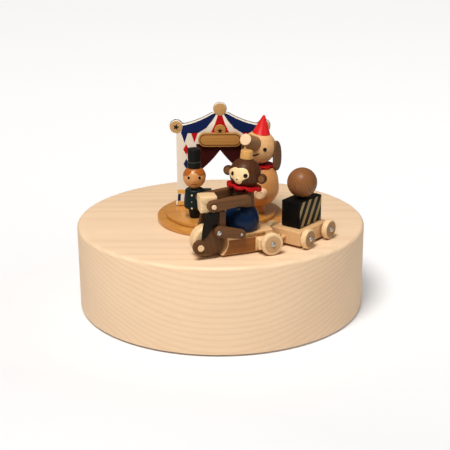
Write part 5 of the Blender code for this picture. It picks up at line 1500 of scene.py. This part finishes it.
# Painted shade: the rear wheels' outer faces are the rims' light wood, darkened for a face turned
# from the light.
rear_face_shade_wood = wood(
    "rear_face_shade_wood", (0.56, 0.36, 0.20), (0.40, 0.24, 0.12), **turned_grain, fibres=0.3,
    roughness=0.5, gloss=0.2,
)
wheel_maple = wood(
    "wheel_maple", (0.82, 0.60, 0.36), (0.58, 0.37, 0.19), **turned_grain, fibres=0.25,
    roughness=0.42, coat=0.2,
)
fork_walnut = walnut(
    "fork_walnut", (0.120, 0.054, 0.021), (0.036, 0.014, 0.006), turn=(0, 1.3, 0.4)
)
leg_walnut = walnut("leg_walnut", (0.140, 0.064, 0.026), (0.050, 0.020, 0.008), along_scooter)
# Near black: a painted cast shadow, not a wood of its own.
shadow_black = walnut(
    "shadow_black_walnut", (0.006, 0.003, 0.0015), (0.002, 0.001, 0.0006), turn=(0, 1.4, 0.4)
)
pin_steel = metal("pin_steel", (0.52, 0.54, 0.58), roughness=0.34)
brass = metal("hitch_brass", (0.80, 0.56, 0.20), roughness=0.34)
WHEEL = (0.02875, 0.0081)
BODY_HALF = 0.0071
BODY_REAR = -0.00395
BODY_FOOT = 0.0010
BODY_FRONT = 0.0232
BODY_TOP = 0.0114
HOLLOW = 0.0086
low_turn = math.degrees(math.acos((BODY_FRONT - WHEEL[0]) / HOLLOW))
high_turn = math.degrees(math.asin((BODY_TOP - WHEEL[1]) / HOLLOW))
body_outline = [
    (BODY_REAR, BODY_FOOT),
    (BODY_FRONT, BODY_FOOT),
    *reversed(arc(WHEEL, HOLLOW, 180 - high_turn, 360 - low_turn, 24)),
    (BODY_REAR, BODY_TOP),
]
GROOVE_DEPTH = 0.0010
groove_outline = capsule(
    (0.0008, 0.0094), (0.0124, 0.0094), start_radius=0.00095, end_radius=0.00095, steps=10
)
groove = slab([groove_outline], 2 * GROOVE_DEPTH)
grooves = [
    shifted(groove.copy(), Matrix.Translation((0, sign * BODY_HALF, 0)) @ UPRIGHT)
    for sign in (-1, 1)
]
bpy.data.meshes.remove(groove)
block = shifted(slab([body_outline], 2 * BODY_HALF, edge=0.0006, rounds=3), UPRIGHT)
put(
    "scooter_block", carved(block, *grooves), scooter_beech, "scooter", scooter,
    ["scooter_body"],
)
LAYER_THICKNESS = 0.00012
SIDE_INSET = 0.0007
PANEL_REAR = 0.0054
PANEL_FOOT = 0.0014
PANEL_TOP = 0.0085
panel_turn = math.degrees(math.asin((PANEL_TOP - WHEEL[1]) / HOLLOW))
# A thin darker sheet over each side of the block: painted shade of the side faces.
side_shade_panel = [
    (PANEL_REAR, PANEL_FOOT),
    (BODY_FRONT - SIDE_INSET, PANEL_FOOT),
    *reversed(arc(WHEEL, HOLLOW + SIDE_INSET, 180 - panel_turn, 360 - low_turn - 6, 24)),
    (PANEL_REAR, PANEL_TOP),
]
for side, sign in (("near", 1), ("far", -1)):
    panel_place = moved_to(scooter, 0, sign * BODY_HALF, 0) @ UPRIGHT
    put(
        f"side_panel_{side}", slab([side_shade_panel], LAYER_THICKNESS), body_side_shade_wood, "scooter",
        panel_place,
    )
    # A darker sheet on the floor of each side groove: painted shade in the recess.
    put(
        f"groove_floor_{side}", slab([groove_outline], LAYER_THICKNESS), disc_veneer_and_groove_shade, "scooter",
        moved_to(scooter, 0, sign * (BODY_HALF - GROOVE_DEPTH), 0) @ UPRIGHT,
    )
cowl = slab([rectangle(-0.00345, 0.0050, 0.0025, 0.0082, corner=0.0009)], 0.0216, edge=0.0005)
put("axle_cowl", cowl, wheel_maple, "scooter", scooter @ UPRIGHT)
HITCH = (-0.0098, 0.0026)
TOW_PLATE = 0.0014
tongue = slab(
    [capsule((-0.00225, 0), HITCH, start_radius=0.0017, end_radius=0.0017)], TOW_PLATE,
    edge=0.0003,
)
put("tow_tongue", tongue, scooter_beech, "scooter", moved_to(scooter, 0, 0, 0.0033))
put(
    "hitch_pin", dowel(0.0008, 0.0033, 0.0066, edge=0.0003, steps=24), brass, "scooter",
    moved_to(scooter, *HITCH, 0),
)


WHEEL_HALF = 0.0015
REAR_RADIUS = 0.0056
REAR_AXLE = (-0.00085, 0.0059)
REAR_LINE = 0.0127


def wheel(radius, width, edge):
    """A turned wheel about Z with soft rims."""
    half = width / 2
    bore = 0.0011
    rim = arc((radius - edge, half - edge), edge, 90, 0, 6)[1:]
    return turned(
        [(bore, half), (radius - edge, half), *rim,
         *arc((radius - edge, edge - half), edge, 0, -90, 6), (bore, -half)],
        steps=72, ring=True,
    )


def wheel_face(radius, inset):
    """A thin darker ring in a wheel's face, about Z: painted shade on a face turned from the
    light.
    """
    corners = rectangle(0.0014, radius - inset, -LAYER_THICKNESS / 2, LAYER_THICKNESS / 2)
    return turned(corners[::-1], steps=72, ring=True)


def axle(half):
    """A steel axle about Z with a low domed head at each end."""
    head, rise = 0.0013, 0.0007
    dome = [(head * math.cos(a), half + rise * math.sin(a)) for a in (1.2, 0.9, 0.6, 0.3, 0)]
    end = [(0, half + rise), *dome, (0.0008, half)]
    return turned(end + [(r, -z) for r, z in reversed(end)], steps=32)


def rear_place(y):
    return moved_to(scooter, REAR_AXLE[0], y, REAR_AXLE[1]) @ ALONG_Y


put(
    "front_wheel_disc", wheel(radius=0.0078, width=0.007, edge=0.0016), wheel_maple,
    "front_wheel", moved_to(scooter, WHEEL[0], 0, WHEEL[1]) @ ALONG_Y, ["front_wheel"],
)
for side, sign in (("near", 1), ("far", -1)):
    put(
        f"rear_wheel_disc_{side}", wheel(REAR_RADIUS, 2 * WHEEL_HALF, edge=0.0007), wheel_maple,
        f"rear_wheel_{side}", rear_place(sign * REAR_LINE), [f"rear_wheel_{side}"],
    )
    # A darker ring on each rear wheel's outer face: painted shade.
    put(
        f"rear_wheel_face_{side}", wheel_face(REAR_RADIUS, inset=0.0014), rear_face_shade_wood,
        f"rear_wheel_{side}", rear_place(sign * (REAR_LINE + WHEEL_HALF)),
    )
put(
    "rear_axle_pin", axle(half=0.0145), pin_steel, "scooter", rear_place(0),
    ["rear_axle"],
)
dress(pin_steel, "front_axle")
FORK_LOBE = (0.03415, 0.0067)
FORK_LINE = 0.00585
FORK_PLATE = 0.0025
FORK_HEAD = 0.0223
FORK_REAR = 0.02475
for side, sign in (("near", 1), ("far", -1)):
    reach = [
        (0.0300, FORK_HEAD), *arc(FORK_LOBE, 0.0036, 105, -80, 24),
        *arc((0.0290, 0.0090), 0.0066, -70, -205, 30),
    ]
    if sign < 0:
        reach = [(0.0282, FORK_HEAD), *arc((0.0272, 0.0088), 0.0046, 20, -200, 36)]
    fork_outline = [*reach, (FORK_REAR, 0.0137), (FORK_REAR, FORK_HEAD)]
    put(
        f"fork_cheek_{side}", slab([fork_outline], FORK_PLATE, edge=0.0004), fork_walnut,
        "scooter", moved_to(scooter, 0, sign * FORK_LINE, 0) @ UPRIGHT,
        [f"fork_plate_{side}"],
    )
# Painted shadow: a near-black sheet on the near fork cheek, where the headlight and hand cast
# their shadow.
fork_leg = [
    (0.0312, 0.0241), (0.0252, 0.0236), (0.0252, 0.0206), (0.0258, 0.0171), (0.0289, 0.0151),
    (0.0310, 0.0122), (0.0336, 0.0110), (0.0332, 0.0165), (0.0321, 0.0211),
]
put(
    "fork_leg", slab([rounded_outline(fork_leg, steps=5)], 0.0007, edge=0.0003), shadow_black,
    "scooter", moved_to(scooter, 0, FORK_LINE + FORK_PLATE / 2 + 0.0002, 0) @ UPRIGHT,
)
PLUG_DEPTH = 0.0008
plug = [
    (0, 0.0002), (0.0010, 0.0002), *arc((0.0013, 0), 0.0003, 60, 0, 4), (0.0016, -PLUG_DEPTH),
    (0, -PLUG_DEPTH),
]
put(
    "axle_plug", turned(plug, steps=40), wheel_maple, "scooter",
    moved_to(scooter, FORK_LOBE[0], BODY_HALF + 0.0003, 0.0065) @ ALONG_Y,
)
SHIELD = 0.0034
SHIELD_LINE = 0.02275
shield_half = [
    (0, 0.0168), (0.0041, 0.0168), (0.0041, 0.0140), (0.0071, 0.0140), (0.0071, 0.0238),
    (0.0059, 0.0240), (0.0059, 0.0260), (0, 0.0260),
]
put(
    "shield_board", slab([mirrored(shield_half)], SHIELD, edge=0.0003), leg_walnut, "scooter",
    moved_to(scooter, SHIELD_LINE, 0, 0) @ ACROSS, ["leg_shield"],
)
lamp_outline = rounded_outline(
    [(-0.0041, 0.0228), (0.0030, 0.0228), (0.0040, 0.0238), (0.0042, 0.0300), (0.0034, 0.0310),
     (-0.0034, 0.0308), (-0.0042, 0.0298), (-0.0043, 0.0236)], steps=4,
)
LAMP_TURN = -10
LAMP_WIDTH = 0.0088
lamp_turned = Matrix.Rotation(math.radians(LAMP_TURN), 4, "Z")
lamp_place = moved_to(scooter, 0.0280, 0.0002, 0) @ lamp_turned
put(
    "headlight_block", slab([lamp_outline], LAMP_WIDTH, edge=0.0010, rounds=4), wheel_maple,
    "scooter", lamp_place @ UPRIGHT, ["headlight"],
)
HANDLEBAR = (0.02815, 0.0272)
HANDLEBAR_HALF = 0.0104
put(
    "handlebar_dowel", dowel(0.0012, -HANDLEBAR_HALF, HANDLEBAR_HALF, edge=0.0004, steps=32),
    end_wood, "scooter", moved_to(scooter, HANDLEBAR[0], 0, HANDLEBAR[1]) @ ALONG_Y,
    ["handlebar"],
)


# Monkey: navy trousers, torso, ruff, head and hat on one leaning axis, with flat walnut
# arms to the handlebar and legs pinned to the fork. Its face is a pale inlay.
SPINE_LEAN = -4.7
spine = moved_to(scooter, 0.00985, 0, 0.0160) @ Matrix.Rotation(
    math.radians(SPINE_LEAN), 4, "Y"
)
head_walnut = walnut(
    "head_walnut", (0.080, 0.026, 0.009), (0.024, 0.007, 0.003), turn=(0, 1.4, 0.3)
)
ear_brown = walnut("ear_brown", (0.20, 0.092, 0.034), (0.09, 0.034, 0.013), turn=(0, 1.4, 0.3))
face_cream = paint("face_cream", (0.84, 0.64, 0.37), roughness=0.42, coat=0.05, mottle=0.1)
trouser_navy = paint(
    "trouser_navy", (0.0012, 0.013, 0.050), roughness=0.3, coat=0.12, mottle=0.5, gloss=0.1
)


def sliced(mesh, height):
    """The part of a closed mesh above a level."""
    shape = bmesh.new()
    shape.from_mesh(mesh)
    bpy.data.meshes.remove(mesh)
    every = [*shape.verts, *shape.edges, *shape.faces]
    cut = bmesh.ops.bisect_plane(
        shape, geom=every, plane_co=(0, 0, height), plane_no=(0, 0, -1), clear_outer=True
    )
    rim = [item for item in cut["geom_cut"] if isinstance(item, bmesh.types.BMEdge)]
    bmesh.ops.contextual_create(shape, geom=rim)
    bmesh.ops.recalc_face_normals(shape, faces=shape.faces)
    return smooth(shape)


TROUSERS = 0.0088
TROUSERS_RISE = 0.0094
TROUSERS_SEAT = 0.0117
trouser_egg = egg(TROUSERS, TROUSERS_RISE, TROUSERS_RISE, top=0.0075, bottom=-TROUSERS_RISE)
trousers = turned(trouser_egg[:-1] + [(0, -TROUSERS_RISE)], steps=96)
leaning = scooter.inverted() @ spine
put(
    "trousers", sliced(shifted(trousers, leaning), TROUSERS_SEAT), trouser_navy, "scooter",
    scooter, ["monkey_trousers"],
)
put(
    "torso_turning", dowel(0.0059, 0.0078, 0.0152, edge=0.0006, steps=64, end_radius=0.0050),
    leg_walnut, "scooter", spine, ["monkey_torso"],
)
put(
    "monkey_frill", collar(reach=0.0091, lobes=8, thick=0.0020), frill_red, "scooter",
    moved_to(spine, 0, 0, 0.0173) @ Matrix.Rotation(math.radians(-5), 4, "Y"),
    ["monkey_ruff"],
)
fez_tan = wood(
    "fez_tan", (0.66, 0.36, 0.115), (0.42, 0.19, 0.045), centre=(0.01, -0.04, 0.09),
    ring=0.0015, rings=0.2, fibre=0.0003, fibres=0.35, patches=0.2, roughness=0.42, coat=0.1,
    gloss=0.25,
)
MONKEY = 0.00775
MONKEY_FACING = -115
monkey_head = moved_to(spine, 0, 0, 0.0236)
put(
    "monkey_ball", flat_ball(MONKEY, seat=-0.00598, crown=0.00717, steps=96), head_walnut,
    "scooter", monkey_head, ["monkey_head"],
)
EAR_DROP = 0.0007
face_frame = monkey_head @ Matrix.Rotation(math.radians(42.8), 4, "Z")
for side, sign in (("near", 1), ("far", -1)):
    ear_place = (
        face_frame
        @ Matrix.Translation((0, sign * 0.0090, -EAR_DROP - sign * EAR_DROP))
        @ Matrix.Rotation(math.pi / 2, 4, "Y")
    )
    put(
        f"monkey_ear_{side}", dowel(0.00245, -0.0011, 0.0011, edge=0.0005), head_walnut,
        "scooter", ear_place,
    )
    put(
        f"monkey_ear_inlay_{side}", dowel(0.0016, 0.0009, 0.0013, edge=0.0001), ear_brown,
        "scooter", ear_place,
    )
face_middle = monkey_head.translation
mask = [
    (-66.7, 4.9), (-52, 18), (-31.8, 29.1), (-19, 33), (-6.6, 31), (6, 33), (20, 32),
    (31.7, 26), (38.2, 8), (33, -3), (21.9, -8), (12, -15), (10, -23), (-2, -29), (-14, -27),
    (-20, -19), (-26, -12), (-40, -9), (-54.2, -5),
]
put(
    "monkey_mask",
    patch(MONKEY, MONKEY_FACING, rounded_outline(mask, steps=4), lift=0.00012, rows=10),
    face_cream, "scooter", Matrix.Translation(face_middle),
)
put(
    "monkey_muzzle", dot(0.0020, height=0.3), face_cream, "scooter",
    on_head(face_middle, MONKEY, MONKEY_FACING, -4, -14.5),
)
for side, azimuth, rise_of in (("left", -28.5, 8.2), ("right", 25.1, 5.2)):
    put(
        f"monkey_eye_{side}", dot(0.00108), eye_black, "scooter",
        on_head(face_middle, MONKEY, MONKEY_FACING, azimuth, rise_of),
    )
put(
    "monkey_nose", dot(0.00042), eye_black, "scooter",
    on_head(face_middle, MONKEY + 0.00055, MONKEY_FACING, -5, -8.5),
)
mouth = [(-13, -21.5), (-6, -23), (2, -21.5), (-5.5, -26)]
put(
    "monkey_mouth",
    patch(MONKEY + 0.00035, MONKEY_FACING, rounded_outline(mouth, steps=5), lift=0.0002, rows=3),
    mouth_and_shade_brown, "scooter", Matrix.Translation(face_middle),
)
put(
    "monkey_fez", dowel(0.0031, 0.03075, 0.0350, edge=0.0004, steps=48, end_radius=0.0029),
    fez_tan, "scooter", spine, ["monkey_hat"],
)
SHOULDER_PIN = (0.0108, 0.0287)
ARM_LINE = 0.00795
ARM_BAR = 0.0035
HIP = (0.01395, 0.0118)
FOOT = (0.0248, 0.0143)
FOOT_PIN = (0.02565, 0.0140)
LEG_LINE = 0.00875
LEG_BAR = 0.0027
for side, sign, hand in (("near", 1, 0.0027), ("far", -1, 0.0022)):
    arm = slab(
        [capsule(SHOULDER_PIN, HANDLEBAR, start_radius=0.0022, end_radius=hand),
         arc(HANDLEBAR, 0.0014, 0, 360, 32)[:-1]],
        ARM_BAR, edge=0.0004,
    )
    put(
        f"monkey_arm_bar_{side}", arm, leg_walnut, "scooter",
        moved_to(scooter, 0, sign * ARM_LINE, 0) @ UPRIGHT, [f"monkey_arm_{side}"],
    )
    leg = slab([capsule(HIP, FOOT, start_radius=0.0023, end_radius=0.0028)], LEG_BAR, edge=0.0004)
    put(
        f"monkey_leg_bar_{side}", leg, leg_walnut, "scooter",
        moved_to(scooter, 0, sign * LEG_LINE, 0) @ UPRIGHT, [f"monkey_leg_{side}"],
    )
    for name, (x, z), radius in (("fork", FOOT_PIN, 0.0012), ("hip", HIP, 0.0007)):
        pin_head = dot(radius, height=0.5)
        turn = ALONG_Y if sign > 0 else ALONG_Y.inverted()
        put(
            f"{name}_pin_{side}", pin_head, pin_steel, "scooter",
            moved_to(scooter, x, sign * (LEG_LINE + LEG_BAR / 2), z) @ turn,
        )


# Trailer: a flat tray on four wheels with an eye over the hitch pin, a black crate with
# gold slanted stripes on its long sides, and a turned walnut ball resting on the crate.
along_trailer = (0, 0, math.radians(TRAILER_HEADING))
tray_beech = wood(
    "tray_beech", (0.72, 0.46, 0.24), (0.50, 0.28, 0.12), centre=(0.04, -0.03, 0.045),
    turn=along_trailer, ring=0.0022, rings=0.22, fibre=0.0004, fibres=0.3, patches=0.25,
    roughness=0.42, coat=0.15,
)
cargo_walnut = wood(
    "cargo_walnut", (0.26, 0.105, 0.037), (0.065, 0.022, 0.008), centre=(0.04, -0.04, 0.07),
    turn=(0.3, 1.15, 0.5), ring=0.0011, rings=0.35, fibre=0.0003, fibres=0.5, patches=0.7,
    flecks=0.1, roughness=0.4, coat=0.06, gloss=0.2,
)
crate_black = paint(
    "crate_black", (0.0018, 0.0018, 0.0016), roughness=0.4, coat=0.02, mottle=0.3, gloss=0.08
)
stripe_gold = paint("stripe_gold", (0.33, 0.235, 0.10), roughness=0.42, coat=0.0, mottle=0.2)
TRAY_REAR = -0.00941
TRAY_FRONT = 0.01639
TRAY_HALF = 0.0089
TRAY_FOOT = 0.0013
TRAY_HEIGHT = 0.0074
tray_outline = rectangle(TRAY_REAR, TRAY_FRONT, -TRAY_HALF, TRAY_HALF, corner=0.0007)
tray = slab([tray_outline], TRAY_HEIGHT, edge=0.0006, rounds=3)
put(
    "tray_board", tray, tray_beech, "trailer",
    moved_to(trailer, 0, 0, TRAY_FOOT + TRAY_HEIGHT / 2), ["trailer_tray"],
)
TOW_EYE = (0.01863, -0.00205)
eye_plate = slab(
    [capsule((0.01419, TOW_EYE[1]), TOW_EYE, start_radius=0.0022, end_radius=0.0022),
     arc(TOW_EYE, 0.0011, 0, 360, 32)[:-1]],
    TOW_PLATE, edge=0.0003,
)
put("tow_eye", eye_plate, tray_beech, "trailer", moved_to(trailer, 0, 0, 0.0050))
TRAILER_RADIUS = 0.0050
TRAILER_LINE = 0.0112
TRAILER_AXLE_LEVEL = 0.0053


def on_axle(x, y):
    return moved_to(trailer, x, y, TRAILER_AXLE_LEVEL) @ ALONG_Y


for end, x in (("front", 0.0130), ("rear", -0.0060)):
    put(
        f"trailer_axle_pin_{end}", axle(half=0.0130), pin_steel, "trailer",
        on_axle(x, 0), [f"trailer_axle_{end}"],
    )
    for side, sign in (("near", 1), ("far", -1)):
        name = f"trailer_wheel_{end}_{side}"
        put(
            name.replace("wheel", "wheel_disc"),
            wheel(TRAILER_RADIUS, 2 * WHEEL_HALF, edge=0.0007), wheel_maple, name,
            on_axle(x, sign * TRAILER_LINE), [name],
        )
        # A darker ring on each trailer wheel's outer face: painted shade.
        put(
            name.replace("wheel", "wheel_face"), wheel_face(TRAILER_RADIUS, inset=0.0008),
            trailer_face_shade_wood, name, on_axle(x, sign * (TRAILER_LINE + WHEEL_HALF)),
        )
CRATE_REAR = -0.0078
CRATE_FRONT = 0.0123
CRATE_HALF = 0.0055
CRATE_FOOT = 0.0090
CRATE_TOP = 0.0224
crate_outline = rectangle(CRATE_REAR, CRATE_FRONT, -CRATE_HALF, CRATE_HALF, corner=0.0006)
put(
    "crate_block", slab([crate_outline], CRATE_TOP - CRATE_FOOT, edge=0.0005, rounds=3),
    crate_black, "trailer", moved_to(trailer, 0, 0, (CRATE_FOOT + CRATE_TOP) / 2),
    ["crate"],
)
STRIPE_LEAN = 0.0078
STRIPE_WIDTH = 0.0024
CRATE_STRIPE_STEP = 0.0057
for side, sign in (("near", 1), ("far", -1)):
    start = CRATE_FRONT - 0.0008
    end = start - STRIPE_LEAN
    band = slab(
        [[(start, CRATE_FOOT), (end, CRATE_TOP), (end - STRIPE_WIDTH, CRATE_TOP),
          (start - STRIPE_WIDTH, CRATE_FOOT)]],
        0.0004,
    )
    band.transform(Matrix.Translation((CRATE_STRIPE_STEP, 0, 0)))
    painted_face = rectangle(
        CRATE_REAR + 0.0004, CRATE_FRONT - 0.0004, CRATE_FOOT + 0.0003, CRATE_TOP - 0.0003,
        corner=0.0002,
    )
    stripes = repeated(
        band, count=5, step=(-CRATE_STRIPE_STEP, 0, 0), finish=stripe_gold,
        trim=slab([painted_face], LAYER_THICKNESS),
    )
    stripes.shade_flat()
    put(
        f"crate_stripes_{side}", stripes, stripe_gold, "trailer",
        moved_to(trailer, 0, sign * CRATE_HALF, 0) @ UPRIGHT,
    )
CARGO = 0.0076
put(
    "cargo_turning", flat_ball(CARGO, 0.0003 - CARGO, CARGO * 0.9999, steps=96), cargo_walnut,
    "trailer", moved_to(trailer, 0.00225, 0, CRATE_TOP + CARGO), ["cargo_ball"],
)
